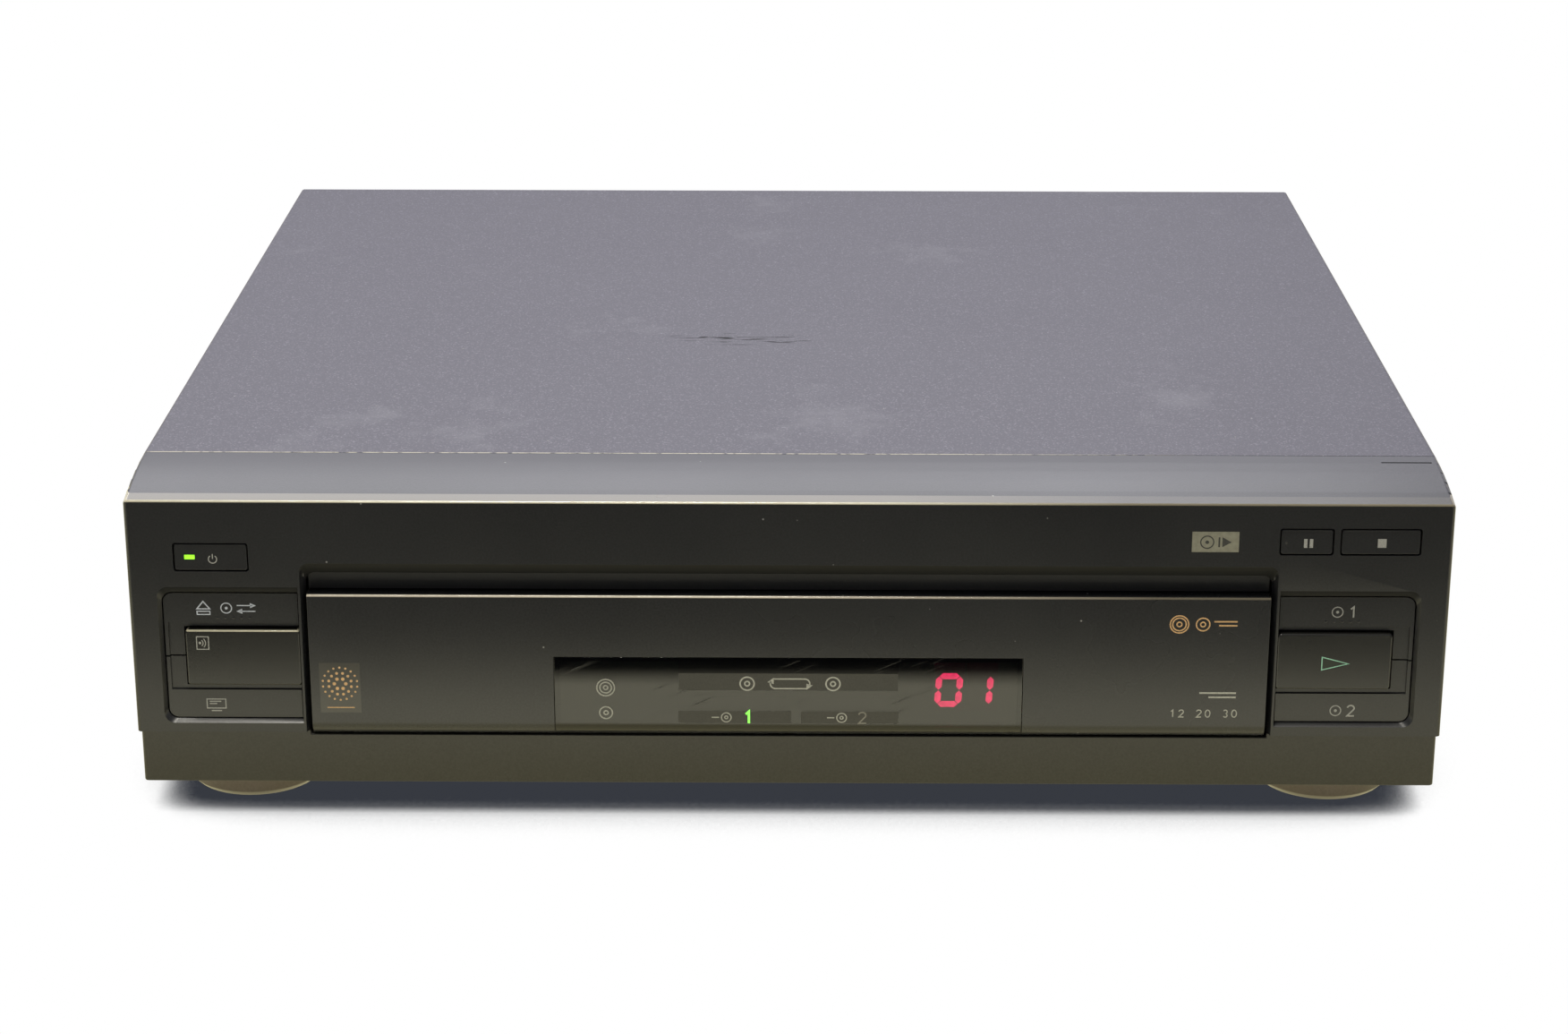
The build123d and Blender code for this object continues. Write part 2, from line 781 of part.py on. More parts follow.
def make_boards():
    """Upright boards behind the keys."""
    board = block(bay_in + 1, half_width - fascia_wall - 0.8, face + board_setback,
                  face + board_setback + board_sheet, fascia_low + 2, bay_top + 24)
    save("key_boards", board, mirrored(board))
    x0, x1, z0, z1 = badge_box()
    save("badge_plate", block(x0, x1, face, face + badge_sheet, z0, z1))


# ---------------------------------------------------------------- tray
front_back = face + tray_front_depth
arm_in = tray_half - arm_width
arm_end = drum_y + arm_length
load_pitch = load_teeth * load_module / 2
drive_x = arm_in + addendum * load_module - load_pitch
rack_low = under_z - rack_height


def front_section(offset):
    """Side view of the tray's front: flat above, rounded back below."""
    low = front_low + offset
    high = front_top - offset
    bend = front_low + nose_height
    points = [(face + offset, bend), (face + offset, high), (front_back, high), (front_back, low),
              (face + nose_setback + offset, low)]
    sides = Polyline(*points)
    height = bend - low
    radius = (nose_setback ** 2 + height ** 2) / (2 * nose_setback)
    half_turn = math.asin(height / radius) / 2
    middle = (face + offset + radius * (1 - math.cos(half_turn)), bend - radius * math.sin(half_turn))
    return make_face(sides + ThreePointArc(points[-1], middle, points[0]))


def make_tray_front():
    """Moulded front of the tray and the smoked window let into it."""
    window = block(-window_half, window_half, face - 1, face + window_wall,
                   front_low + window_low, front_low + window_low + window_height)
    shell = plate_x(front_section(0), -front_half, front_half)
    shell = fillet(shell.edges().filter_by(Axis.X).group_by(Axis.Z)[-1].sort_by(Axis.Y)[0], edge_radius)
    pane_half = window_half - window_gap
    pane_low = front_low + window_low + window_gap
    pane = shell & block(-pane_half, pane_half, face - 1, face + window_wall,
                         pane_low, pane_low + window_height - 2 * window_gap)
    hollow = plate_x(front_section(fascia_wall), -front_half + fascia_wall, front_half - fascia_wall)
    hollow += block(-front_half + fascia_wall, front_half - fascia_wall, front_back - 1, front_back + 1,
                    front_low + fascia_wall, under_z - 1)
    hollow -= block(-front_half, front_half, face, front_back + 1, under_z - 1, front_top)
    shell -= hollow
    shell -= window
    sight = block(-window_half + 2, window_half - 2, face, front_back + 1,
                  front_low + window_low + 2, front_low + window_low + window_height - 2)
    ledge = block(-window_half - 1, window_half + 1, face + window_wall, face + window_wall + 1.2,
                  front_low + window_low - 1, front_low + window_low + window_height + 1)
    shell += ledge & plate_x(front_section(0.5), -front_half, front_half)
    shell -= sight
    save("tray_front", shell)
    save("display_window", pane)


def make_tray():
    """Disc tray with its wells, the slot for the spindle, side arms and rack."""
    tray = block(-tray_half, tray_half, front_back, tail_y, under_z, rim_z)
    rear = tray.edges().filter_by(Axis.Z).group_by(Axis.Y)[-1]
    tray = chamfer(rear, arm_width * 0.8)
    arm = block(arm_in, tray_half, tail_y - 60, arm_end, under_z, rim_z - 1.5)
    tray += arm + mirrored(arm)
    tray -= upright(0, spindle_y, well_radius, seat_z, rim_z + 1)
    tray -= upright(0, spindle_y, small_well_radius, seat_z - small_well_depth, rim_z + 1)
    tray -= upright(0, spindle_y, slot_half, under_z - 1, rim_z + 1)
    tray -= block(-slot_half, slot_half, spindle_y, tail_y + 1, under_z - 1, rim_z + 1)
    # Finger hollows at the front of the well
    for side in (-1, 1):
        tray -= upright(side * 62, spindle_y - well_radius * 0.93, 16, seat_z - 1.2, rim_z + 1)
    rack_end = face + drive_y + tray_travel + 8
    tray += rack(drive_x + load_pitch, arm_in + rack_width, face + drive_y - 9, rack_end,
                 rack_low, under_z, face + drive_y, load_module)
    save("tray_carrier", tray)
    pads = []
    for angle in (40, 140, 220, 320):
        x = disc_radius * 0.94 * math.cos(math.radians(angle))
        y = spindle_y + disc_radius * 0.94 * math.sin(math.radians(angle))
        pads.append(upright(x, y, 4.0, seat_z, seat_z + 0.4))
    save("tray_pads", *pads)


def make_flap():
    """Narrow flap that shuts the slot above the tray's front."""
    half = mouth_half - 0.8
    plate = block(-half, half, face + mouth_depth + 0.3, face + mouth_depth + 1.5, front_top + 0.4, flap_z)
    plate += crosswise(flap_y, flap_z, 1.7, -half, half)
    plate += crosswise(flap_y, flap_z, flap_pin_radius, -half - 2.6, half + 2.6)
    save("dust_flap", plate)


def make_guides():
    """Channels either side that hold the tray's edges and arms."""
    y0 = face + guide_start
    y1 = panel_y - 7
    wall = block(rail_out, rail_out + guide_wall, y0, y1, deck_z, rim_z + guide_gap + guide_lip)
    lower = block(tray_half - guide_reach, rail_out, y0, y1,
                  under_z - guide_gap - guide_lip, under_z - guide_gap)
    upper = block(tray_half - 2.5, rail_out, y0, y1, rim_z + guide_gap, rim_z + guide_gap + guide_lip)
    guide = wall + lower + upper
    save("tray_guides", guide, mirrored(guide))


# ---------------------------------------------------------------- deck
deck_half = rail_out + guide_wall + 6.0
deck_front = face + 20.0
deck_back = panel_y - 7.0
plate_half_x = lift_pin_x + 5.0
plate_half_y = 12.0
motor_angle = math.radians(135)
pair_pitch = (wheel_teeth + small_teeth) * wheel_module / 2
pulley_x = drive_x + pair_pitch * math.cos(motor_angle)
pulley_y = face + drive_y + pair_pitch * math.sin(motor_angle)
motor_x = pulley_x - motor_reach
wheel_low = rack_low - wheel_drop
belt_low = deck_z + belt_rise
belt_mid = belt_low + pulley_wall / 2
wheel_y = face + drive_y
load_top = under_z - wheel_head
post_spots_y = (deck_front + 12.0, deck_back - 12.0)
post_x = deck_half - 7.0


def make_deck():
    """Steel deck that carries the mechanism, on four rubber-footed posts."""
    deck = block(-deck_half, deck_half, deck_front, deck_back, deck_low, deck_z)
    deck -= block(-drum_radius + 6, drum_radius - 6, drum_y - 4, drum_end + turn_wall + 1.5,
                  deck_low - 1, deck_z + 1)
    deck -= upright(motor_x, pulley_y, 5.0, deck_low - 1, deck_z + 1)
    for x in (-115, -65, 65, 115):
        hole = block(x - 18, x + 18, spindle_y - 5, spindle_y + 75, deck_low - 1, deck_z + 1)
        deck -= fillet(hole.edges().filter_by(Axis.Z), 8)
    save("mech_deck", deck)
    posts = []
    for y in post_spots_y:
        for x in (-post_x, post_x):
            post = upright(x, y, 4.0, floor_z, deck_low)
            posts.append(post + upright(x, y, 6.5, deck_low - 8, deck_low))
    save("deck_posts", *posts)


def make_loading():
    """Motor, belt, stepped wheels and pinion that drive the tray's rack."""
    motor = upright(motor_x, pulley_y, motor_radius, deck_low - motor_length, deck_low)
    motor += upright(motor_x, pulley_y, motor_boss, deck_low - overlap, deck_z + 1.0)
    motor += upright(motor_x, pulley_y, motor_shaft, deck_z, belt_low + pulley_wall + 1.0)
    save("loading_motor", motor)
    small = pulley(motor_x, motor_pulley_radius)
    save("motor_pulley", small - upright(motor_x, pulley_y, motor_shaft + shaft_gap, belt_low - 1, rack_low))
    step_low = belt_low + pulley_wall - overlap
    large = pulley(pulley_x, pulley_radius)
    large += Pos(pulley_x, pulley_y, step_low) * gear(
        small_teeth, wheel_module, wheel_low + wheel_wall - step_low, 315.0 + 180.0 / small_teeth)
    large -= upright(pulley_x, pulley_y, axle_radius + shaft_gap, belt_low - 1, rack_low + 9)
    save("loading_pulley", large)
    head_low = wheel_low + wheel_wall - overlap
    wheel = Pos(drive_x, wheel_y, wheel_low) * gear(wheel_teeth, wheel_module, wheel_wall, 180.0 / wheel_teeth)
    wheel += Pos(drive_x, wheel_y, head_low) * gear(load_teeth, load_module, load_top - head_low)
    wheel -= upright(drive_x, wheel_y, wheel_pin_radius + shaft_gap, wheel_low - 1, under_z + 1)
    save("drive_wheel", wheel)
    axle = upright(pulley_x, pulley_y, axle_radius, deck_z, wheel_low + wheel_wall + 1)
    axle += upright(pulley_x, pulley_y, axle_collar, deck_z, belt_low - collar_gap)
    pin = upright(drive_x, wheel_y, wheel_pin_radius, deck_z, load_top)
    pin += upright(drive_x, wheel_y, wheel_collar, deck_z, wheel_low - collar_gap)
    pins = [upright(side * lift_pin_x, spindle_y, lift_pin_radius, deck_z, spindle_top - 3) for side in (-1, 1)]
    save("deck_pins", axle, pin, *pins)
    # Belt: square rubber loop round both pulleys
    apart = pulley_x - motor_x
    tilt = math.asin((pulley_radius - motor_pulley_radius) / apart)
    outer = belt_loop(belt_play + belt_side, apart, tilt)
    inner = belt_loop(belt_play, apart, tilt)
    belt = extrude(outer, amount=belt_side) - Pos(0, 0, -1) * extrude(inner, amount=belt_side + 2)
    save("loading_belt", Pos(motor_x, pulley_y, belt_mid - belt_side / 2) * belt)


def pulley(x, radius):
    """Pulley with its belt groove."""
    blank = upright(x, pulley_y, radius + pulley_rim, belt_low, belt_low + pulley_wall)
    half = belt_side / 2 + groove_play
    ring = upright(x, pulley_y, radius + 2 * pulley_rim, belt_mid - half, belt_mid + half)
    return blank - (ring - upright(x, pulley_y, radius, belt_low, belt_low + pulley_wall))


def belt_loop(grow, apart, tilt):
    """Outline round both pulleys, the motor's at the origin."""
    small = motor_pulley_radius + grow
    large = pulley_radius + grow
    across = (math.sin(tilt), math.cos(tilt))
    a = (-small * across[0], small * across[1])
    b = (apart - large * across[0], large * across[1])
    c = (b[0], -b[1])
    d = (a[0], -a[1])
    far = ThreePointArc(b, (apart + large, 0), c)
    near = ThreePointArc(d, (-small, 0), a)
    return make_face(Line(a, b) + far + Line(c, d) + near)


# ---------------------------------------------------------------- spindle and clamp
platter_z = seat_z + platter_rise
platter_low = platter_z - platter_wall
spindle_top = platter_low - 4.5
spindle_low = spindle_top - spindle_wall
clamper_low = platter_z + disc_thickness + loose_gap
clamper_wall = 3.0
arm_low = clamper_low + clamper_wall + 3.0
clamp_ring = 9.0
neck_radius = 6.0
pivot_x = -(rail_out - 1.0)
pivot_z = arm_low + 7.0
ear_wall = 5.0


def make_spindle():
    """Flat spindle motor on a lifting plate, its platter and the guide pins."""
    motor = upright(0, spindle_y, spindle_radius, spindle_low, spindle_top)
    motor += block(-plate_half_x, plate_half_x, spindle_y - plate_half_y, spindle_y + plate_half_y,
                   spindle_low - spindle_plate, spindle_low)
    for side in (-1, 1):
        motor -= upright(side * lift_pin_x, spindle_y, lift_pin_radius + shaft_gap, spindle_low - 9, spindle_top)
    motor += upright(0, spindle_y, 2.0, spindle_top - 1, platter_z + 1)
    save("spindle_motor", motor)
    platter = upright(0, spindle_y, platter_radius, platter_low, platter_z)
    platter += upright(0, spindle_y, 8.0, spindle_top + loose_gap, platter_low)
    cone = Cone(cone_radius, cone_radius - 2.5, cone_height)
    platter += Pos(0, spindle_y, platter_z + cone_height / 2) * cone
    save("turntable", platter - upright(0, spindle_y, 2.0 + shaft_gap, spindle_top, platter_z + 1.2))


def make_clamp():
    """Hinged arm over the disc and the clamper that turns in its end."""
    y0 = spindle_y - clamp_width / 2
    y1 = spindle_y + clamp_width / 2
    arm = block(pivot_x, 0, y0 + 4, y1 - 4, arm_low, arm_low + clamp_sheet)
    arm += upright(0, spindle_y, clamp_width / 2, arm_low, arm_low + clamp_sheet)
    for y in (y0 + 4, y1 - 5.5):
        arm += block(pivot_x + 8, -clamp_width / 2, y, y + 1.5, arm_low, arm_low + 7)
    arm += block(pivot_x - 4.5, pivot_x + 8, y0, y1, arm_low, arm_low + clamp_sheet)
    arm += lengthwise(pivot_x, pivot_z, 4.5, y0, y1)
    arm += block(pivot_x - 4.5, pivot_x + 4.5, y0, y1, arm_low, pivot_z)
    arm -= lengthwise(pivot_x, pivot_z, clamp_pin_radius + shaft_gap, y0 - 1, y1 + 1)
    arm -= upright(0, spindle_y, clamp_ring, arm_low - 1, arm_low + clamp_sheet + 1)
    save("clamp_arm", arm)
    disc = upright(0, spindle_y, clamper_radius, clamper_low, clamper_low + clamper_wall)
    disc -= upright(0, spindle_y, cone_radius + 0.6, clamper_low - 1,
                    clamper_low + cone_height - disc_thickness + loose_gap)
    disc += upright(0, spindle_y, neck_radius, clamper_low + clamper_wall - 0.1, arm_low + clamp_sheet + 0.4)
    disc += upright(0, spindle_y, 12.0, arm_low + clamp_sheet + 0.3, arm_low + clamp_sheet + 2.3)
    save("clamper", disc)
    post_low = deck_z
    post_x0 = -(rail_out + guide_wall + 5.5)
    post_x1 = -(rail_out + guide_wall)
    post = block(post_x0, post_x1, y0 - ear_wall - 0.3, y1 + ear_wall + 0.3, post_low, rim_z + 3)
    ears = []
    for y in (y0 - ear_wall - 0.3, y1 + 0.3):
        ears.append(block(post_x0, pivot_x + 5, y, y + ear_wall, rim_z + 3, pivot_z + 5))
    post += ears[0] + ears[1]
    save("clamp_post", post + lengthwise(pivot_x, pivot_z, clamp_pin_radius, y0 - ear_wall, y1 + ear_wall))


# ---------------------------------------------------------------- pickup
channel_y0 = spindle_y + channel_start
channel_y1 = drum_y - loose_gap
rail_z = axis_z - rail_under
rail_in = sled_half - rail_bite
channel_floor = feed_low - 4.3
grid_y = sled_rest


def make_channels():
    """Lower channel on the deck and upper one on its bridges, with their rails and racks."""
    def channel():
        body = block(-channel_out, channel_out, channel_y0, channel_y1, deck_z, channel_floor)
        wall = block(channel_in, channel_out, channel_y0, channel_y1, deck_z, rail_z + rail_sheet + 1)
        rail = block(rail_in, channel_in + overlap, channel_y0, channel_y1,
                     rail_z - rail_sheet / 2, rail_z + rail_sheet / 2)
        side = wall + rail
        return body + side + mirrored(side)

    lower = channel()
    strip = rack(rack_line, channel_in, channel_y0, channel_y1, feed_low, feed_top, grid_y, feed_module)
    turned = Pos(0, 0, 2 * axis_z) * Rot(0, 180, 0)
    upper = turned * lower
    for y in (channel_y0 + 6, channel_y1 - 26):
        z = 2 * axis_z - deck_z
        beam = block(-deck_half, deck_half, y, y + 20, z, z + 2)
        for side in (-1, 1):
            leg = block(side * (deck_half - 2), side * deck_half, y, y + 20, deck_z, z)
            beam += leg
        upper += beam
    save("lower_channel", lower)
    save("upper_channel", upper)
    save("feed_racks", strip, turned * strip)


def make_sled():
    """Pickup sled with its lens and feed pinion, parked in the turnover drum."""
    y0 = sled_rest - sled_length / 2
    y1 = sled_rest + sled_length / 2
    sled = block(-sled_half, sled_half, y0, y1, sled_low, sled_top)
    top_edges = sled.edges().filter_by(Axis.Y).group_by(Axis.Z)[-1]
    sled = chamfer(top_edges, 3.0)
    for side in (-1, 1):
        sled -= block(side * (rail_in - rail_gap), side * (sled_half + 1), y0 - 1, y1 + 1,
                      rail_z - rail_sheet / 2 - rail_gap, rail_z + rail_sheet / 2 + rail_gap)
    sled -= block(-9, 9, y0 + 14, y1 - 4, sled_top - 3, sled_top + 1)
    sled += upright(feed_x, sled_rest, 1.5, feed_low + 0.3, sled_low + 1)
    save("pickup_sled", sled)
    lens = upright(0, y0 + lens_edge, lens_radius, sled_top, axis_z - lens_under)
    save("objective_lens", lens)
    pinion = Pos(feed_x, sled_rest, feed_low) * gear(feed_teeth, feed_module, feed_wall)
    save("feed_pinion", pinion - upright(feed_x, sled_rest, 1.5 + shaft_gap, feed_low - 1, feed_top + 1))


def make_drum():
    """Turnover drum: a trough that carries the parked sled, its gear and its hub."""
    drum = lengthwise(0, axis_z, drum_radius, drum_y, drum_end)
    drum &= block(-drum_radius, drum_radius, drum_y - 1, drum_end + 1, feed_low - drum_floor - 0.3, axis_z + 4)
    half = sled_half + loose_gap
    trough = block(-half, half, drum_y - 1, drum_end, sled_low - loose_gap, axis_z + 5)
    trough += block(feed_x - feed_pitch - 1.5, rack_line + 1, drum_y - 1, drum_end, feed_low - 0.3, sled_low)
    rails = block(rail_in, half + 0.1, drum_y, drum_end, rail_z - rail_sheet / 2, rail_z + rail_sheet / 2)
    drum = drum - trough + rails + mirrored(rails)
    drum += rack(rack_line, rack_line + 3, drum_y, drum_end, feed_low - 0.3, feed_top, grid_y, feed_module)
    wheel = Pos(0, drum_end + turn_wall, axis_z) * Rot(90, 0, 0) * gear(turn_teeth, turn_module, turn_wall)
    drum += wheel + lengthwise(0, axis_z, hub_radius, hub_y - 0.1, hub_y + hub_length)
    save("turnover_drum", drum)


turn_x = -(turn_teeth + turn_pinion_teeth) * turn_module / 2
bracket_y = hub_y + 2.0
saddle_y = drum_end - 3.0


def make_turning():
    """Bracket for the drum's hub, and the motor and pinion that turn the drum."""
    plate = block(-30, 30, bracket_y, bracket_y + bracket_wall, deck_z, axis_z + hub_radius + 7)
    plate -= lengthwise(0, axis_z, hub_radius + shaft_gap, bracket_y - 1, bracket_y + bracket_wall + 1)
    plate -= block(-31, 31, bracket_y - 1, drum_end + turn_wall + 1.5, deck_z - 1, deck_z + 1)
    motor = lengthwise(turn_x, axis_z, turn_motor_radius, saddle_y - turn_motor_length, saddle_y)
    motor += lengthwise(turn_x, axis_z, 1.5, saddle_y - 1, hub_y - 0.2)
    save("turn_motor", motor)
    pinion = Pos(turn_x, drum_end + turn_wall, axis_z) * Rot(90, 0, 0) * gear(
        turn_pinion_teeth, turn_module, turn_wall, 180.0 / turn_pinion_teeth)
    save("turn_pinion", pinion - lengthwise(turn_x, axis_z, 1.5 + shaft_gap, drum_end - 1, hub_y + 1))
    saddle = block(turn_x - turn_motor_radius - 3, turn_x + turn_motor_radius - 2,
                   saddle_y - turn_motor_length + 3, saddle_y - 3, deck_z, axis_z)
    saddle -= lengthwise(turn_x, axis_z, turn_motor_radius, saddle_y - 40, saddle_y + 10)
    save("turn_bracket", plate, saddle)


# ---------------------------------------------------------------- display and electronics
def make_display():
    """Display board behind the tray's window, with its digits and lamps."""
    board_y = face + board_setback
    low = front_low + window_low
    half = window_half + display_margin
    save("display_board", block(-half, half, board_y, board_y + board_sheet, floor_z, under_z - 6))
    digits = []
    for place in range(2):
        x1 = window_half - digit_inset - place * digit_pitch
        digits.append(block(x1 - digit_width, x1, board_y - module_depth, board_y,
                            low + digit_rise, low + digit_rise + digit_height))
    save("digit_modules", *digits)
    lamps = [block(-lamp_half, lamp_half, board_y - module_depth, board_y,
                   low + mark_rise, low + mark_rise + mark_height)]
    for x0, x1 in ((-lamp_half, lamp_shift - lamp_split / 2), (lamp_shift + lamp_split / 2, lamp_half)):
        lamps.append(block(x0, x1, board_y - module_depth, board_y,
                           low + lamp_rise, low + lamp_rise + lamp_height))
    save("lamp_modules", *lamps)


def make_electronics():
    """Main board under the deck, power board and transformer in the left bay."""
    board_z = floor_z + main_rise
    half = deck_half - main_margin
    y0 = face + main_start
    y1 = panel_y - main_end
    board = block(-half, half, y0, y1, board_z, board_z + board_sheet)
    for x in (-half + leg_inset, half - leg_inset):
        for y in (y0 + leg_inset, y1 - leg_inset):
            board += upright(x, y, leg_radius, floor_z, board_z)
    save("main_board", board)
    chips = []
    chip_z = board_z + board_sheet
    for row in range(chip_rows):
        for column in range(chip_columns):
            x = (column - (chip_columns - 1) / 2) * chip_pitch_x
            y = spindle_y - chip_start + row * chip_pitch_y
            side = chip_half + chip_step * ((row + column) % 2)
            chips.append(block(x - side, x + side, y - side, y + side, chip_z, chip_z + chip_height))
    save("main_chips", *chips)
    bay_x = -(rail_out + guide_wall + bay_margin + wide_half - floor_sheet) / 2
    core_y = panel_y - core_end
    core = block(bay_x - core_half, bay_x + core_half, core_y, core_y + core_length,
                 floor_z, floor_z + core_height)
    coil = block(bay_x - coil_half, bay_x + coil_half, core_y - coil_reach, core_y + core_length + coil_reach,
                 floor_z + coil_reach, floor_z + core_height - coil_reach)
    save("transformer", core + coil)
    y0 = face + power_start
    y1 = core_y - power_end
    board_z = floor_z + power_lift
    power = block(bay_x - core_half, bay_x + core_half, y0, y1, board_z, board_z + board_sheet)
    for y in (y0 + leg_inset, y1 - leg_inset):
        power += upright(bay_x, y, leg_radius, floor_z, board_z)
    for count in range(can_count):
        y = y0 + can_pitch * (count + 0.9)
        x = bay_x + can_step * (count % 2)
        power += upright(x, y, can_radius, board_z + board_sheet, board_z + board_sheet + can_height)
    save("power_board", power)


def jack_spots():
    """Places of the phono sockets, in X and Z."""
    x0 = half_width * jack_place
    z0 = deck_z - jack_drop
    return [(x0 + column * jack_pitch, z0 + row * jack_pitch)
            for column in range(jack_columns) for row in (0, 1)]


def make_rear():
    """Rear panel with its sockets and the bush for the mains lead."""
    panel = block(-wide_half + 0.1, wide_half - 0.1, panel_y, back, foot_height, cover_low - 0.1)
    jack_end = back + jack_reach
    barrels = []
    for x, z in jack_spots():
        panel -= lengthwise(x, z, jack_radius + 0.3, panel_y - 1, back + 1)
        barrel = lengthwise(x, z, jack_radius - jack_neck, panel_y - jack_root, back + jack_stand + 1)
        barrel += lengthwise(x, z, jack_radius, back + jack_stand, jack_end)
        barrels.append(barrel - lengthwise(x, z, jack_bore, jack_end - jack_bore_depth, jack_end + 1))
    first_x, first_z = jack_spots()[0]
    last_x, last_z = jack_spots()[-1]
    housing = block(first_x - housing_margin, last_x + housing_margin, panel_y - jack_root - housing_wall,
                    panel_y - jack_root, floor_z, last_z + housing_margin)
    save("rear_jacks", *barrels)
    save("jack_housing", housing)
    bush_x = -half_width * bush_place
    bush_z = floor_z + bush_rise
    panel -= lengthwise(bush_x, bush_z, bush_radius, panel_y - 1, back + 1)
    bush = lengthwise(bush_x, bush_z, bush_radius, panel_y - bush_depth, back)
    bush += lengthwise(bush_x, bush_z, bush_radius + bush_flange, back, back + bush_proud)
    bush -= lengthwise(bush_x, bush_z, bush_bore, panel_y - 2 * bush_depth, back + 2 * bush_proud)
    save("mains_bush", bush)
    for row in range(vent_rows):
        for column in range(vent_columns):
            x = vent_x + column * vent_pitch_x
            z = deck_z + vent_rise + row * vent_pitch_z
            panel -= block(x - vent_length / 2, x + vent_length / 2, panel_y - 1, back + 1, z, z + vent_height)
    for x in rear_screw_spots():
        panel -= lengthwise(x, rear_screw_z, screw_hole, panel_y - 1, back + 1)
    save("rear_panel", panel)


make_chassis()
make_cover()
make_screws()
make_fascia()
make_plinth()
make_feet()
make_keys()
make_bars()
make_boards()
make_tray_front()
make_tray()
make_flap()
make_guides()
make_deck()
make_loading()
make_spindle()
make_clamp()
make_channels()
make_sled()
make_drum()
make_turning()
make_display()
make_electronics()
make_rear()
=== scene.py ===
import bmesh
import bpy
import json
import math
from mathutils import Matrix, Vector


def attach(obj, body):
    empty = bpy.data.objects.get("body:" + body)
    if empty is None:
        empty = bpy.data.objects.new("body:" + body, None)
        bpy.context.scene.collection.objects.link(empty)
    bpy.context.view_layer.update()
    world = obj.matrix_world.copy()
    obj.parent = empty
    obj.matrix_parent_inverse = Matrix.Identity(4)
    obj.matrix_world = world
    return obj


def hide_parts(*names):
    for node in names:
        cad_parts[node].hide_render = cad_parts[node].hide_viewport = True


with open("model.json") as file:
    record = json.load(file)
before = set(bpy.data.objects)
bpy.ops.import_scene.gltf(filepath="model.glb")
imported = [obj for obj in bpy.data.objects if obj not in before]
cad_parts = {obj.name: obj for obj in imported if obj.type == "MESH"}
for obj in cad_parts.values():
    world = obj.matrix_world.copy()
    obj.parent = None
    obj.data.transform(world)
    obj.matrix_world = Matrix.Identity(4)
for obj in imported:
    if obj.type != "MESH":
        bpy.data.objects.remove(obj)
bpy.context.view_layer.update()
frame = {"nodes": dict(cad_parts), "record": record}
MM = 0.001

# Camera: a short telephoto lens about a metre in front of the player and
# half a metre up, looking down on it by nineteen degrees.
EYE = Vector((0.00497, -1.21833, 0.46212))
YAW = math.radians(-0.3645)
PITCH = math.radians(19.3488)
ROLL = math.radians(0.0822)
FOCAL_LENGTH = 76.377
SENSOR_WIDTH = 36.0
NEAREST = 0.01

ahead = Vector((math.sin(YAW) * math.cos(PITCH), math.cos(YAW) * math.cos(PITCH), -math.sin(PITCH)))
level = Vector((math.cos(YAW), -math.sin(YAW), 0.0))
upward = level.cross(ahead)
across = math.cos(ROLL) * level + math.sin(ROLL) * upward
above = -math.sin(ROLL) * level + math.cos(ROLL) * upward
camera_data = bpy.data.cameras.new("camera")
camera_data.sensor_fit = "HORIZONTAL"
camera_data.sensor_width = SENSOR_WIDTH
camera_data.lens = FOCAL_LENGTH
camera_data.clip_start = NEAREST
camera = bpy.data.objects.new("camera", camera_data)
camera.matrix_world = Matrix.Translation(EYE) @ Matrix((across, above, -ahead)).transposed().to_4x4()
bpy.context.scene.collection.objects.link(camera)
bpy.context.scene.camera = camera
bpy.context.scene.view_settings.view_transform = "Standard"


# Studio: a cream sheet of paper on a darker table, in a white room.  The lens
# sees both as white with the player's shadow; gloss sees the sheet's edge, and
# a painted shade that darkens the sheet close to the player.
FLOOR_HALF = 6.0
SHEET_EDGE = -0.332
SHEET_SOFT = 0.008
SHEET_CREAM = (2.30, 2.20, 1.66, 1.0)
SHEET_PAINTED_SHADE = (1.12, 1.03, 0.60, 1.0)
PAINTED_SHADE_START = -0.246
PAINTED_SHADE_END = -0.290
TABLE_DARK = (0.030, 0.031, 0.033, 1.0)
PAPER = (0.80, 0.78, 0.72, 1.0)
SHADOW_REACH = 0.11
SHADOW_FULL = 0.27
SHADOW_END = 0.56
SHADOW_TONE = (0.038, 0.042, 0.052, 1.0)
SHADOW_SAMPLES = 16
WHITE = (1.0, 1.0, 1.0, 1.0)
ROOM = (0.93, 0.95, 1.0, 1.0)
ROOM_LEVEL = 0.26
ROOM_BEHIND = (0.89, 0.875, 1.0, 1.0)
ROOM_BEFORE = (0.12, 0.125, 0.135, 1.0)
WALLS_DIM = -0.3
WALLS_BRIGHT = 0.25


def add(tree, kind, sockets=None, **attributes):
    """A shader node; a socket takes another node's output or a plain value."""
    node = tree.nodes.new("ShaderNode" + kind)
    for name, value in attributes.items():
        setattr(node, name, value)
    for name, value in (sockets or {}).items():
        if isinstance(value, bpy.types.NodeSocket):
            tree.links.new(value, node.inputs[name])
        else:
            node.inputs[name].default_value = value
    return node


def ramp(tree, value, start, end, low=0.0, high=1.0, kind="LINEAR"):
    """A value that goes from low to high between start and end, and stays there."""
    return add(tree, "MapRange", {"Value": value, "From Min": start, "From Max": end,
                                  "To Min": low, "To Max": high}, interpolation_type=kind).outputs[0]


def product(tree, one, two):
    """Two values multiplied."""
    return add(tree, "Math", {0: one, 1: two}, operation="MULTIPLY").outputs[0]


def blend(tree, share, under, over, how="MIX"):
    """One colour over another by a share."""
    return add(tree, "MixRGB", {"Fac": share, "Color1": under, "Color2": over},
               blend_type=how).outputs[0]


def own_place(tree):
    """A point's place in the piece's own coordinates."""
    return add(tree, "TexCoord").outputs["Object"]


def split(tree, vector):
    """The three numbers of a vector."""
    return add(tree, "SeparateXYZ", {0: vector}).outputs


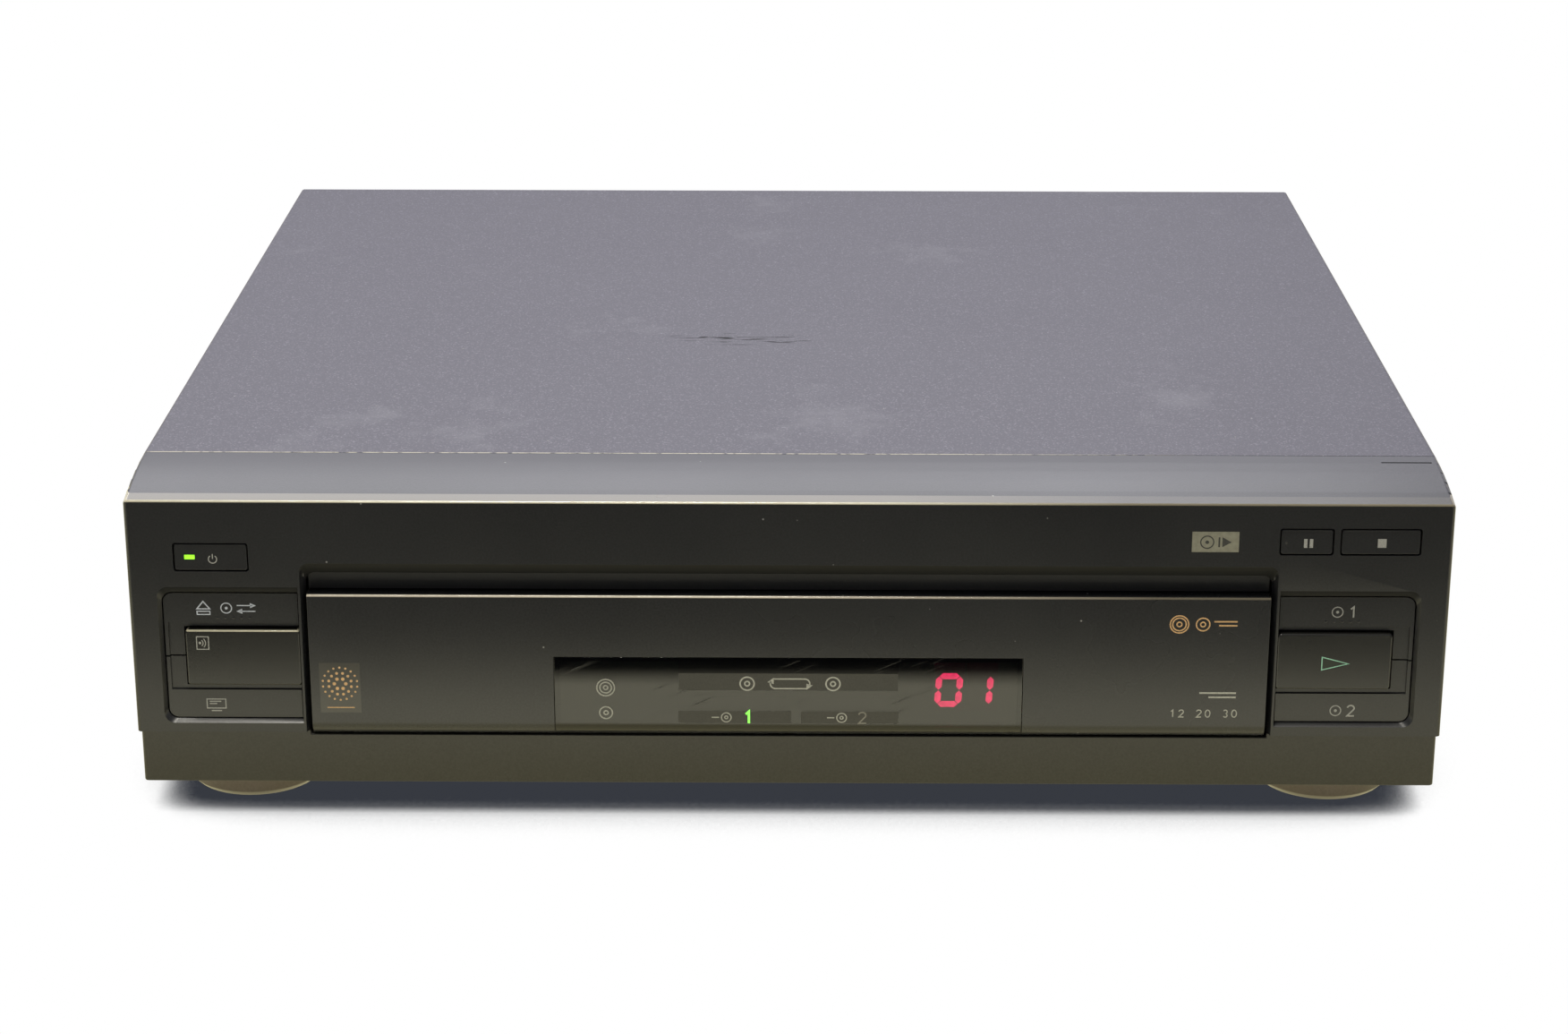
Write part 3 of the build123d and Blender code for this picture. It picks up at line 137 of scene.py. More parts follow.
def seen_by_lens_or_gloss(tree):
    """One for rays from the lens, mirrors and clear plastic, else nought."""
    path = add(tree, "LightPath")
    either = add(tree, "Math", {0: path.outputs["Is Camera Ray"], 1: path.outputs["Is Glossy Ray"]},
                 operation="MAXIMUM")
    return add(tree, "Math", {0: either.outputs[0], 1: path.outputs["Is Transmission Ray"]},
               operation="MAXIMUM").outputs[0]


def lay_floor():
    """The table with its sheet of paper."""
    form = bmesh.new()
    bmesh.ops.create_grid(form, x_segments=1, y_segments=1, size=FLOOR_HALF)
    mesh = bpy.data.meshes.new("floor")
    form.to_mesh(mesh)
    form.free()
    floor = bpy.data.objects.new("floor", mesh)
    bpy.context.scene.collection.objects.link(floor)
    paper = bpy.data.materials.new("floor_paper")
    paper.use_nodes = True
    paper.cycles.emission_sampling = "NONE"
    tree = paper.node_tree
    tree.nodes.clear()
    matt = add(tree, "BsdfDiffuse", {"Color": PAPER})
    shade = add(tree, "AmbientOcclusion", {"Distance": SHADOW_REACH}, samples=SHADOW_SAMPLES)
    clear = ramp(tree, shade.outputs["AO"], SHADOW_FULL, SHADOW_END)
    white = blend(tree, clear, SHADOW_TONE, WHITE)
    forward = split(tree, own_place(tree))["Y"]
    edge = ramp(tree, forward, SHEET_EDGE - SHEET_SOFT, SHEET_EDGE + SHEET_SOFT)
    # Painted shade: seen in gloss, the sheet darkens close to the player, where its shadow falls.
    reach = ramp(tree, forward, PAINTED_SHADE_START, PAINTED_SHADE_END)
    sheet = blend(tree, reach, SHEET_PAINTED_SHADE, SHEET_CREAM)
    gloss = blend(tree, edge, TABLE_DARK, sheet)
    path = add(tree, "LightPath")
    tone = blend(tree, path.outputs["Is Glossy Ray"], white, gloss)
    glow = add(tree, "Emission", {"Color": tone})
    mix = add(tree, "MixShader", {0: seen_by_lens_or_gloss(tree), 1: matt.outputs[0], 2: glow.outputs[0]})
    add(tree, "OutputMaterial", {"Surface": mix.outputs[0]})
    mesh.materials.append(paper)


def paint_room():
    """White to the lens; in gloss, bright behind the player and dim before it."""
    world = bpy.data.worlds.new("room")
    bpy.context.scene.world = world
    world.use_nodes = True
    world.cycles.sampling_method = "NONE"
    tree = world.node_tree
    tree.nodes.clear()
    soft = add(tree, "Background", {"Color": ROOM, "Strength": ROOM_LEVEL})
    heading = split(tree, add(tree, "TexCoord").outputs["Generated"])["Y"]
    walls = blend(tree, ramp(tree, heading, WALLS_DIM, WALLS_BRIGHT), ROOM_BEFORE, ROOM_BEHIND)
    path = add(tree, "LightPath")
    seen = blend(tree, path.outputs["Is Camera Ray"], walls, WHITE)
    white = add(tree, "Background", {"Color": seen, "Strength": 1.0})
    mix = add(tree, "MixShader", {0: seen_by_lens_or_gloss(tree), 1: soft.outputs[0], 2: white.outputs[0]})
    add(tree, "OutputWorld", {"Surface": mix.outputs[0]})


def hang_lamp(name, place, aim, size, power, colour):
    """A soft box that looks at a point."""
    lamp_data = bpy.data.lights.new(name, "AREA")
    lamp_data.shape = "RECTANGLE"
    lamp_data.size = size[0]
    lamp_data.size_y = size[1]
    lamp_data.energy = power
    lamp_data.color = colour
    lamp = bpy.data.objects.new(name, lamp_data)
    turn = (Vector(aim) - Vector(place)).to_track_quat("-Z", "Y")
    lamp.matrix_world = Matrix.Translation(Vector(place)) @ turn.to_matrix().to_4x4()
    bpy.context.scene.collection.objects.link(lamp)


lay_floor()
paint_room()
hang_lamp("strip_lamp", place=(-0.2, -0.30, 1.6), aim=(-0.1, -0.2, 0.1), size=(0.60, 0.34),
          power=30.0, colour=(1.0, 0.96, 0.86))
hang_lamp("back_lamp", place=(-0.28, 1.35, 1.45), aim=(0.0, -0.1, 0.1), size=(1.8, 0.8),
          power=16.5, colour=(0.95, 0.95, 1.0))


# Top cover: one steel sheet folded down at both sides, with a charcoal
# textured paint that holds fine pale flecks.  It is slipped over the chassis
# and screwed at its sides, and its middle has been scuffed.
homes = {node: body for body, nodes in frame["record"]["behaviour"]["bodies"].items() for node in nodes}
MERGE = 1e-6
FLAT_ANGLE = math.radians(0.4)
EDGE_ANGLE = math.radians(38.0)
LARGE_FACE_WEIGHT = 80
PAINT_IOR = 1.5
MOTTLE_SCALE = 11.0
GRAIN_HEIGHT = 0.0002
ROUGH_SWING = 0.07
DUST_SCALE = 90.0
DUST_PALE = (0.45, 0.44, 0.40, 1.0)


def finish(name, colour, rough, metal=0.0, grain=1300.0, bump=0.10, mottle=0.08, grit=0.10,
           flecks=None, dust=0.0):
    """A principled finish: mottled colour, fine grain in tone and relief."""
    paint = bpy.data.materials.new(name)
    paint.use_nodes = True
    tree = paint.node_tree
    shader = tree.nodes["Principled BSDF"]
    shader.inputs["Metallic"].default_value = metal
    shader.inputs["IOR"].default_value = PAINT_IOR
    place = own_place(tree)
    fine = add(tree, "TexNoise", {"Vector": place, "Scale": grain, "Detail": 2.0}).outputs["Fac"]
    broad = add(tree, "TexNoise", {"Vector": place, "Scale": MOTTLE_SCALE, "Detail": 4.0}).outputs["Fac"]
    tone = ramp(tree, broad, 0.2, 0.8, 1.0 - mottle, 1.0 + mottle, "SMOOTHSTEP")
    sand = ramp(tree, fine, 0.3, 0.7, 1.0 - grit, 1.0 + grit)
    last = blend(tree, 1.0, (*colour, 1.0), product(tree, tone, sand), "MULTIPLY")
    if flecks:
        last = blend(tree, ramp(tree, fine, 0.58, 0.70), last, (*flecks, 1.0))
    if dust:
        cells = add(tree, "TexVoronoi", {"Vector": place, "Scale": DUST_SCALE}).outputs["Distance"]
        last = blend(tree, ramp(tree, cells, 0.034, 0.020, high=dust), last, DUST_PALE)
    tree.links.new(last, shader.inputs["Base Color"])
    spread = ramp(tree, broad, 0.2, 0.8, rough * (1.0 - ROUGH_SWING), rough * (1.0 + ROUGH_SWING),
                  "SMOOTHSTEP")
    tree.links.new(spread, shader.inputs["Roughness"])
    relief = add(tree, "Bump", {"Strength": bump, "Distance": GRAIN_HEIGHT, "Height": fine})
    tree.links.new(relief.outputs[0], shader.inputs["Normal"])
    return paint


def lay_over(paint, mask, colour, rough=None):
    """Another colour on a finish, and if given another roughness, where the mask says."""
    tree = paint.node_tree
    shader = tree.nodes["Principled BSDF"]
    layers = {"Base Color": colour}
    if rough is not None:
        layers["Roughness"] = (rough, rough, rough)
    for socket, value in layers.items():
        under = shader.inputs[socket].links[0].from_socket
        tree.links.new(blend(tree, mask, under, (*value, 1.0)), shader.inputs[socket])


def refined(node, paint, width, segments=2, set_back=0.0):
    """A merged copy of a CAD piece with softened edges, standing for the piece.

    Its foremost face may be set back by a print's thickness, so that a print
    on it is flush with the CAD piece."""
    form = bmesh.new()
    form.from_mesh(frame["nodes"][node].data)
    bmesh.ops.remove_doubles(form, verts=form.verts, dist=MERGE)
    bmesh.ops.dissolve_limit(form, angle_limit=FLAT_ANGLE, use_dissolve_boundaries=False,
                             verts=form.verts, edges=form.edges, delimit=set())
    foremost = min(vertex.co.y for vertex in form.verts)
    for vertex in form.verts:
        if vertex.co.y < foremost + MERGE:
            vertex.co.y += set_back
    for surface in form.faces:
        surface.smooth = True
    mesh = bpy.data.meshes.new(node + "_refined")
    form.to_mesh(mesh)
    form.free()
    mesh.materials.append(paint)
    piece = bpy.data.objects.new(node + "_refined", mesh)
    bpy.context.scene.collection.objects.link(piece)
    soft = piece.modifiers.new("soft_edges", "BEVEL")
    soft.width = width
    soft.segments = segments
    soft.limit_method = "ANGLE"
    soft.angle_limit = EDGE_ANGLE
    even = piece.modifiers.new("even_shading", "WEIGHTED_NORMAL")
    even.weight = LARGE_FACE_WEIGHT
    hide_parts(node)
    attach(piece, homes[node])


def dress(paint, *nodes):
    """The same finish on several CAD pieces."""
    for node in nodes:
        mesh = frame["nodes"][node].data
        mesh.materials.clear()
        mesh.materials.append(paint)


cover_paint = finish("cover_paint", (0.031, 0.029, 0.041), 0.42, grain=1500.0, bump=0.22, grit=0.15,
                     flecks=(0.125, 0.12, 0.15), dust=0.4)
refined("top_cover", cover_paint, 0.25 * MM)
SCUFF_CENTRE = (0.020, 0.033, -0.1156)
SCUFF_BLACK = (0.004, 0.004, 0.005)
SMEAR_PALE = (0.13, 0.13, 0.15)


def scuff_cover():
    """Dark rubbed strokes in the middle and a few pale streaks."""
    tree = cover_paint.node_tree
    place = own_place(tree)
    patch = add(tree, "Mapping", {"Vector": place, "Location": SCUFF_CENTRE})
    squeezed = add(tree, "Mapping", {"Vector": patch.outputs[0], "Scale": (32.0, 115.0, 1.0)})
    reach = add(tree, "VectorMath", {0: squeezed.outputs[0]}, operation="LENGTH").outputs["Value"]
    near = ramp(tree, reach, 1.0, 0.55)
    drawn = add(tree, "Mapping", {"Vector": place, "Rotation": (0.0, 0.0, 0.35), "Scale": (60.0, 420.0, 1.0)})
    strokes = add(tree, "TexNoise", {"Vector": drawn.outputs[0], "Scale": 1.0, "Detail": 5.0,
                                     "Distortion": 0.8}).outputs["Fac"]
    mask = product(tree, near, ramp(tree, strokes, 0.53, 0.62))
    lay_over(cover_paint, mask, SCUFF_BLACK, 1.0)
    smear = add(tree, "TexNoise", {"Vector": place, "Scale": 13.0, "Detail": 6.0,
                                   "Roughness": 0.68}).outputs["Fac"]
    lay_over(cover_paint, ramp(tree, smear, 0.58, 0.74, high=0.5), SMEAR_PALE)


scuff_cover()
SEAM_INSIDE = -0.1677
SEAM_OUTSIDE = -0.1680
SEAM_HEIGHTS = (0.113, 0.118)
SEAM_FADE = (0.05, 0.14)
SEAM_GLINT = (0.46, 0.43, 0.34)


def strip_mask(tree, place, heights, fade=None):
    """One between two heights; if given, it fades out between two places across."""
    over = add(tree, "Math", {0: place["Z"], 1: heights[0]}, operation="GREATER_THAN").outputs[0]
    under = add(tree, "Math", {0: place["Z"], 1: heights[1]}, operation="LESS_THAN").outputs[0]
    between = product(tree, over, under)
    if fade is None:
        return between
    return product(tree, between, ramp(tree, place["X"], fade[1], fade[0]))


def paint_seam_glint():
    """A painted highlight: a pale glint in broken patches along the cover's front edge, fading out across
    towards the right.
    """
    tree = cover_paint.node_tree
    place = split(tree, own_place(tree))
    edge = ramp(tree, place["Y"], SEAM_INSIDE, SEAM_OUTSIDE)
    chips = add(tree, "TexNoise", {"Vector": own_place(tree), "Scale": 320.0}).outputs["Fac"]
    worn = product(tree, strip_mask(tree, place, SEAM_HEIGHTS, SEAM_FADE), ramp(tree, chips, 0.36, 0.5))
    lay_over(cover_paint, product(tree, edge, worn), SEAM_GLINT)


paint_seam_glint()


# Chassis and screws: a zinc-plated steel tray folded up at its edges, and
# blackened screws that hold the cover and the rear panel to it.
dress(finish("screw_black", (0.05, 0.05, 0.052), 0.3, metal=0.8), "case_screws")
dress(finish("chassis_zinc", (0.62, 0.63, 0.62), 0.35, metal=1.0), "bottom_chassis")


# Fascia: one moulding of charcoal styrene with a fine spark-eroded grain.
# Its curved top band meets the cover; the mouth and key openings are bevelled.
shell_plastic = finish("shell_plastic", (0.018, 0.0185, 0.0195), 0.34, grain=1500.0, bump=0.10, grit=0.20,
                       mottle=0.10, dust=0.5)
PRINT = 0.03 * MM
BROW = (110.2 * MM, 112.4 * MM)
BROW_FADE = (0.03, 0.11)
OPENINGS = (32.0 * MM, 105.0 * MM)
UNDERCUT_SHADE = (0.004, 0.004, 0.004)


def lean(tree):
    """How far the surface leans back: one for a top, nought for a front, less for an undercut."""
    return split(tree, add(tree, "NewGeometry").outputs["True Normal"])["Z"]


def paint_edge_highlight(paint, heights, colour, rough, fade=None):
    """A painted highlight, with lower roughness, on a rounded top edge: between two heights,
    where the surface leans between upright and flat."""
    tree = paint.node_tree
    rounded = product(tree, ramp(tree, lean(tree), 0.10, 0.35), ramp(tree, lean(tree), 0.99, 0.93))
    strip = strip_mask(tree, split(tree, own_place(tree)), heights, fade)
    lay_over(paint, product(tree, rounded, strip), colour, rough)


def paint_undercut_shade(paint, heights):
    """Painted shade: the walls that face downwards are painted near black, and made rougher."""
    tree = paint.node_tree
    down = ramp(tree, lean(tree), -0.15, -0.4)
    strip = strip_mask(tree, split(tree, own_place(tree)), heights)
    lay_over(paint, product(tree, down, strip), UNDERCUT_SHADE, 0.85)


# Painted highlight: a cream colour, with lower roughness, on the brow's rounded top edge, brighter towards
# the left and middle.
paint_edge_highlight(shell_plastic, BROW, (0.17, 0.15, 0.105), 0.13)
paint_edge_highlight(shell_plastic, BROW, (0.46, 0.43, 0.33), 0.13, BROW_FADE)
# Painted shade: the walls of the openings that face downwards are painted near black.
paint_undercut_shade(shell_plastic, OPENINGS)
refined("front_fascia", shell_plastic, 0.30 * MM, set_back=PRINT)


# Plinth: a separate strip of the same plastic, clipped under the fascia and
# set back from its face by about two millimetres.
plinth_plastic = finish("plinth_plastic", (0.0235, 0.0228, 0.0188), 0.36, grain=1500.0, bump=0.12,
                        grit=0.2)
refined("plinth_strip", plinth_plastic, 0.4 * MM)


# Feet: four round warm grey mouldings fixed under the chassis, with rubber
# pads let into them.
foot_plastic = finish("foot_plastic", (0.13, 0.105, 0.09), 0.33)
refined("feet", foot_plastic, 0.3 * MM)
pad_rubber = finish("pad_rubber", (0.03, 0.03, 0.03), 0.8)
dress(pad_rubber, "foot_pads")


# Push keys and bars: satin charcoal caps behind the fascia's openings, and two
# glossier bars, for play and for the remote sensor, that stand still.
KEY_EDGE = (79.0 * MM, 80.2 * MM)
BAR_EDGE = (66.2 * MM, 66.8 * MM)
BAR_FADE = (-0.10, 0.05)
key_plastic = finish("key_plastic", (0.020, 0.0205, 0.0215), 0.31, grain=1600.0, bump=0.08, grit=0.18)
# Painted highlight: a tan colour, with lower roughness, on the keys' rounded top edges.
paint_edge_highlight(key_plastic, KEY_EDGE, (0.20, 0.18, 0.13), 0.14)
for key in ("power_button", "pause_button", "stop_button"):
    refined(key, key_plastic, 0.12 * MM, set_back=PRINT)
for key in ("side_one_key", "side_two_key", "open_close_key", "display_key"):
    refined(key, key_plastic, 0.35 * MM, set_back=PRINT)
bar_plastic = finish("bar_plastic", (0.0155, 0.0155, 0.014), 0.24, bump=0.03, grit=0.05)
# Painted highlight: a cream colour, with lower roughness, on the left bar's rounded top edge, fading out
# before the right bar.
paint_edge_highlight(bar_plastic, BAR_EDGE, (0.42, 0.39, 0.28), 0.14, BAR_FADE)
for bar in ("play_bar", "sensor_bar"):
    refined(bar, bar_plastic, 0.10 * MM, set_back=PRINT)


# Prints: thin symbols on the keys, in ink, each flush with the piece that it
# is on.  Coordinates on the front are millimetres across and up.
CIRCLE_STEPS = 40
SHARPEST_MITRE = 0.35


def circle(x, z, radius, steps=CIRCLE_STEPS, start=0.0, sweep=360.0):
    """Points round a centre, counted from the right and upwards."""
    turns = [math.radians(start + sweep * step / steps) for step in range(steps + (abs(sweep) < 360.0))]
    return [(x + radius * math.cos(turn), z + radius * math.sin(turn)) for turn in turns]


def oval(x, z, half_wide, half_high, steps=CIRCLE_STEPS):
    """Points round an oval."""
    turns = [2.0 * math.pi * step / steps for step in range(steps)]
    return [(x + half_wide * math.cos(turn), z + half_high * math.sin(turn)) for turn in turns]


def outline(points, width, closed=True):
    """Four-cornered strips that follow a line of points, with mitred joints."""
    count = len(points)
    sides = []
    for index, point in enumerate(points):
        here = Vector(point)
        before = Vector(points[index - 1]) if closed or index else None
        after = Vector(points[(index + 1) % count]) if closed or index < count - 1 else None
        into = (here - before).normalized() if before is not None else (after - here).normalized()
        out = (after - here).normalized() if after is not None else into
        normal = Vector((-(into.y + out.y), into.x + out.x)).normalized()
        reach = width / 2 / max(normal.dot(Vector((-into.y, into.x))), SHARPEST_MITRE)
        sides.append((here + normal * reach, here - normal * reach))
    pairs = zip(sides, sides[1:] + sides[:1]) if closed else zip(sides, sides[1:])
    return [[one[0], one[1], two[1], two[0]] for one, two in pairs]


def box_shape(x, z, width, height):
    """A rectangle about its centre."""
    return [(x - width / 2, z - height / 2), (x + width / 2, z - height / 2),
            (x + width / 2, z + height / 2), (x - width / 2, z + height / 2)]


def printed(name, body, slot, paint, shapes, face, thick=PRINT):
    """Flat plates in the plane of the front, their outer faces at the depth named."""
    form = bmesh.new()
    for shape in shapes:
        rim = [form.verts.new((point[0] * MM, face * MM, point[1] * MM)) for point in shape]
        plate = form.faces.new(rim)
        grown = bmesh.ops.extrude_face_region(form, geom=[plate])
        moved = [part for part in grown["geom"] if isinstance(part, bmesh.types.BMVert)]
        bmesh.ops.translate(form, verts=moved, vec=(0.0, thick, 0.0))
    bmesh.ops.recalc_face_normals(form, faces=form.faces)
    mesh = bpy.data.meshes.new(name)
    form.to_mesh(mesh)
    form.free()
    mesh.materials.append(paint)
    plates = bpy.data.objects.new(name, mesh)
    bpy.context.scene.collection.objects.link(plates)
    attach(plates, body)


def figure(mark, x, z, height, width=0.5):
    """One plain figure in strokes, about its centre."""
    unit = height / 4.0
    bowl = [(x + (px - x) * 1.15, pz)
            for px, pz in circle(x, z + unit * 0.95, unit * 1.05, 14, 170.0, -215.0)]
    lines = {
        "0": [(oval(x, z, unit * 1.25, unit * 2.0), True)],
        "1": [([(x - unit * 0.75, z + unit * 1.1), (x + unit * 0.25, z + unit * 2.0),
                (x + unit * 0.25, z - unit * 2.0)], False)],
        "2": [(bowl + [(x - unit * 1.15, z - unit * 2.0), (x + unit * 1.3, z - unit * 2.0)], False)],
        "3": [(circle(x, z + unit, unit, 14, 150.0, -240.0), False),
              (circle(x, z - unit, unit, 14, 90.0, -240.0), False)],
    }
    return [shape for points, closed in lines[mark] for shape in outline(points, width, closed)]


def figures(marks, x, z, height, pitch, width=0.5):
    """Plain figures in a row that starts at x; a blank leaves its place free."""
    return [shape for step, mark in enumerate(marks) if mark != " "
            for shape in figure(mark, x + step * pitch, z, height, width)]


def ink(name, colour):
    """A worn, slightly uneven ink."""
    return finish(name, colour, 0.45, grain=2600.0, bump=0.0, mottle=0.12, grit=0.18)


KEY_FACE = -204.5
SMALL_FACE = -205.7
FRONT_FACE = -206.0
FIELD_SINK = 0.01
white_ink = ink("white_ink", (0.52, 0.56, 0.60))
grey_ink = ink("grey_ink", (0.36, 0.36, 0.32))
green_ink = ink("green_ink", (0.30, 0.60, 0.42))
shade_ink = ink("shade_ink", (0.010, 0.018, 0.012))
dark_ink = ink("dark_ink", (0.05, 0.05, 0.045))

printed("power_symbol", "power_key", "key_plastic", grey_ink,
        outline(circle(-186.9, 91.3, 1.35, 24, 125.0, 290.0), 0.32, closed=False)
        + [box_shape(-186.9, 92.25, 0.32, 1.7)], SMALL_FACE)
printed("pause_symbol", "pause_key", "key_plastic", grey_ink,
        [box_shape(167.15, 98.1, 1.1, 3.0), box_shape(169.0, 98.1, 1.1, 3.0)], SMALL_FACE)
printed("pause_mark", "pause_key", "key_plastic", dark_ink, [circle(160.9, 98.2, 0.45, 12)], SMALL_FACE)
printed("stop_symbol", "stop_key", "key_plastic", grey_ink, [box_shape(191.85, 98.2, 2.8, 3.0)], SMALL_FACE)
printed("eject_symbol", "open_key", "key_plastic", white_ink,
        outline([(-193.2, 73.6), (-189.0, 73.6), (-191.1, 76.2)], 0.42)
        + outline(box_shape(-191.1, 72.2, 4.2, 1.1), 0.36), KEY_FACE)
printed("tray_symbol", "open_key", "key_plastic", white_ink,
        outline(circle(-183.6, 73.9, 1.75, 28), 0.34) + [circle(-183.6, 73.9, 0.5, 16)]
        + [box_shape(-177.6, 74.8, 5.0, 0.36), [(-175.8, 73.9), (-173.9, 74.8), (-175.8, 75.7)],
           box_shape(-176.6, 72.8, 5.0, 0.36), [(-178.4, 71.9), (-180.3, 72.8), (-178.4, 73.7)]], KEY_FACE)
printed("screen_symbol", "display_key_body", "key_plastic", grey_ink,
        outline(box_shape(-188.6, 40.2, 6.2, 3.2), 0.34) + [box_shape(-188.6, 37.7, 3.4, 0.4)]
        + [box_shape(-189.6, 40.2, 2.4, 0.36), box_shape(-188.9, 41.0, 3.8, 0.36)], KEY_FACE)
for name, body, x, z, number in (("one", "side_one", 179.0, 73.9, "1"),
                                 ("two", "side_two", 180.2, 39.2, "2")):
    printed("side_" + name + "_disc", body, "key_plastic", grey_ink,
            outline(circle(x, z, 1.75, 28), 0.34) + [circle(x, z, 0.5, 16)] + figure(number, x + 5.0, z, 3.7),
            KEY_FACE)
printed("remote_mark", "case", "bar_plastic", grey_ink,
        outline(box_shape(-191.7, 62.2, 3.9, 4.4), 0.3) + [circle(-192.6, 62.2, 0.45, 12)]
        + outline(circle(-192.8, 62.2, 1.25, 8, -50.0, 100.0), 0.3, closed=False)
        + outline(circle(-192.8, 62.2, 2.05, 8, -45.0, 90.0), 0.3, closed=False), FRONT_FACE)
printed("play_symbol", "case", "bar_plastic", green_ink,
        outline([(174.6, 54.2), (183.2, 56.4), (174.6, 58.7)], 0.36), FRONT_FACE)
printed("play_field", "case", "bar_plastic", shade_ink,
        [[(174.9, 54.6), (182.2, 56.4), (174.9, 58.3)]], FRONT_FACE + FIELD_SINK)


DOTS = 5
DOT_PITCH = 2.68
DOT_RADIUS = 0.5
DOT_SINK = 0.1
DOT_FLATNESS = 0.62


def raise_dots(name, body, left, z):
    """Five low domes to feel for on a key."""
    form = bmesh.new()
    for step in range(DOTS):
        spot = Matrix.Translation(((left + DOT_PITCH * step) * MM, (KEY_FACE + DOT_SINK) * MM, z * MM))
        bmesh.ops.create_uvsphere(form, u_segments=14, v_segments=8, radius=DOT_RADIUS * MM,
                                  matrix=spot @ Matrix.Diagonal((1.0, DOT_FLATNESS, 1.0, 1.0)))
    for surface in form.faces:
        surface.smooth = True
    mesh = bpy.data.meshes.new(name)
    form.to_mesh(mesh)
    form.free()
    mesh.materials.append(key_plastic)
    dots = bpy.data.objects.new(name, mesh)
    bpy.context.scene.collection.objects.link(dots)
    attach(dots, body)


raise_dots("open_dots", "open_key", -186.7, 70.5)
raise_dots("side_one_dots", "side_one", 175.3, 70.6)


# Power light and badge: a clear green light guide in the power key, lit from
# behind, and a plain satin metal plate let into the fascia.
def glowing(name, colour, level):
    """A lit plastic: its own colour under the light, and a steady glow."""
    lit = bpy.data.materials.new(name)
    lit.use_nodes = True
    tree = lit.node_tree
    shader = tree.nodes["Principled BSDF"]
    shader.inputs["Roughness"].default_value = 0.4
    shader.inputs["Emission Strength"].default_value = level
    cloud = add(tree, "TexNoise", {"Vector": own_place(tree), "Scale": 700.0, "Detail": 1.0}).outputs["Fac"]
    glow = blend(tree, 1.0, (*colour, 1.0), ramp(tree, cloud, 0.3, 0.7, 0.8, 1.15), "MULTIPLY")
    tree.links.new(glow, shader.inputs["Base Color"])
    tree.links.new(glow, shader.inputs["Emission Color"])
    return lit


dress(glowing("light_green", (0.30, 0.95, 0.02), 1.1), "power_light")
badge_metal = finish("badge_metal", (0.37, 0.36, 0.28), 0.38, metal=0.55, grain=700.0, mottle=0.05)
refined("badge_plate", badge_metal, 0.05 * MM, set_back=PRINT)
printed("badge_symbol", "case", "badge_metal", dark_ink,
        outline(circle(135.3, 98.5, 2.1, 30), 0.4) + [circle(135.3, 98.5, 0.6, 16)]
        + [box_shape(139.2, 98.5, 0.55, 3.4), [(140.2, 96.8), (143.2, 98.5), (140.2, 100.2)]], FRONT_FACE)


# Tray front and its window: a charcoal moulding, glossier than the fascia, with a
# painted highlight along its top, and a smoked acrylic window set flush in it.
TRAY_EDGE = (78.3 * MM, 79.3 * MM)
TRAY_FADE = (0.0, 0.12)
WINDOW_ROUGH = 0.045
RUB_ROUGH = 0.32
front_plastic = finish("front_plastic", (0.018, 0.0185, 0.0195), 0.27, grain=1500.0, bump=0.10, grit=0.2,
                       mottle=0.1, dust=0.6)
# Painted highlight: a cream colour, with lower roughness, all along the tray front's rounded top edge,
# brighter on the left half.
paint_edge_highlight(front_plastic, TRAY_EDGE, (0.12, 0.105, 0.075), 0.15)
paint_edge_highlight(front_plastic, TRAY_EDGE, (0.50, 0.45, 0.36), 0.15, TRAY_FADE)
refined("tray_front", front_plastic, 0.25 * MM, set_back=PRINT)


def smoke_window():
    """Smoked acrylic, polished, with fine slanting rubs near the digits."""
    smoke = finish("smoked_window", (0.085, 0.085, 0.08), WINDOW_ROUGH, bump=0.0, grit=0.0, mottle=0.0)
    tree = smoke.node_tree
    shader = tree.nodes["Principled BSDF"]
    shader.inputs["Transmission Weight"].default_value = 1.0
    place = own_place(tree)
    drawn = add(tree, "Mapping", {"Vector": place, "Rotation": (0.0, 0.42, 0.0)})
    thin = add(tree, "Mapping", {"Vector": drawn.outputs[0], "Scale": (45.0, 1.0, 900.0)})
    rubs = add(tree, "TexNoise", {"Vector": thin.outputs[0], "Scale": 1.0, "Detail": 3.0}).outputs["Fac"]
    patch = add(tree, "TexNoise", {"Vector": place, "Scale": 38.0, "Detail": 1.0}).outputs["Fac"]
    rub = product(tree, ramp(tree, rubs, 0.60, 0.72), ramp(tree, patch, 0.46, 0.60))
    tree.links.new(ramp(tree, rub, 0.0, 1.0, WINDOW_ROUGH, RUB_ROUGH), shader.inputs["Roughness"])
    return smoke


refined("display_window", smoke_window(), 0.15 * MM, set_back=PRINT)


# Legends in the window, and a few plain numbers and signs on the tray front:
# disc sizes in centimetres, a disc ring in gold, and a film with gold rings.
TRAY = ("tray", "tray_front_plastic")
FILM = 0.01 * MM
FILM_SINK = 0.015
gold_ink = ink("gold_ink", (0.62, 0.38, 0.16))
legend_ink = ink("legend_ink", (0.40, 0.40, 0.33))
faint_ink = ink("faint_ink", (0.20, 0.19, 0.15))
lit_green = glowing("lit_green", (0.25, 0.95, 0.10), 0.9)
panel_ink = ink("panel_ink", (0.040, 0.039, 0.032))


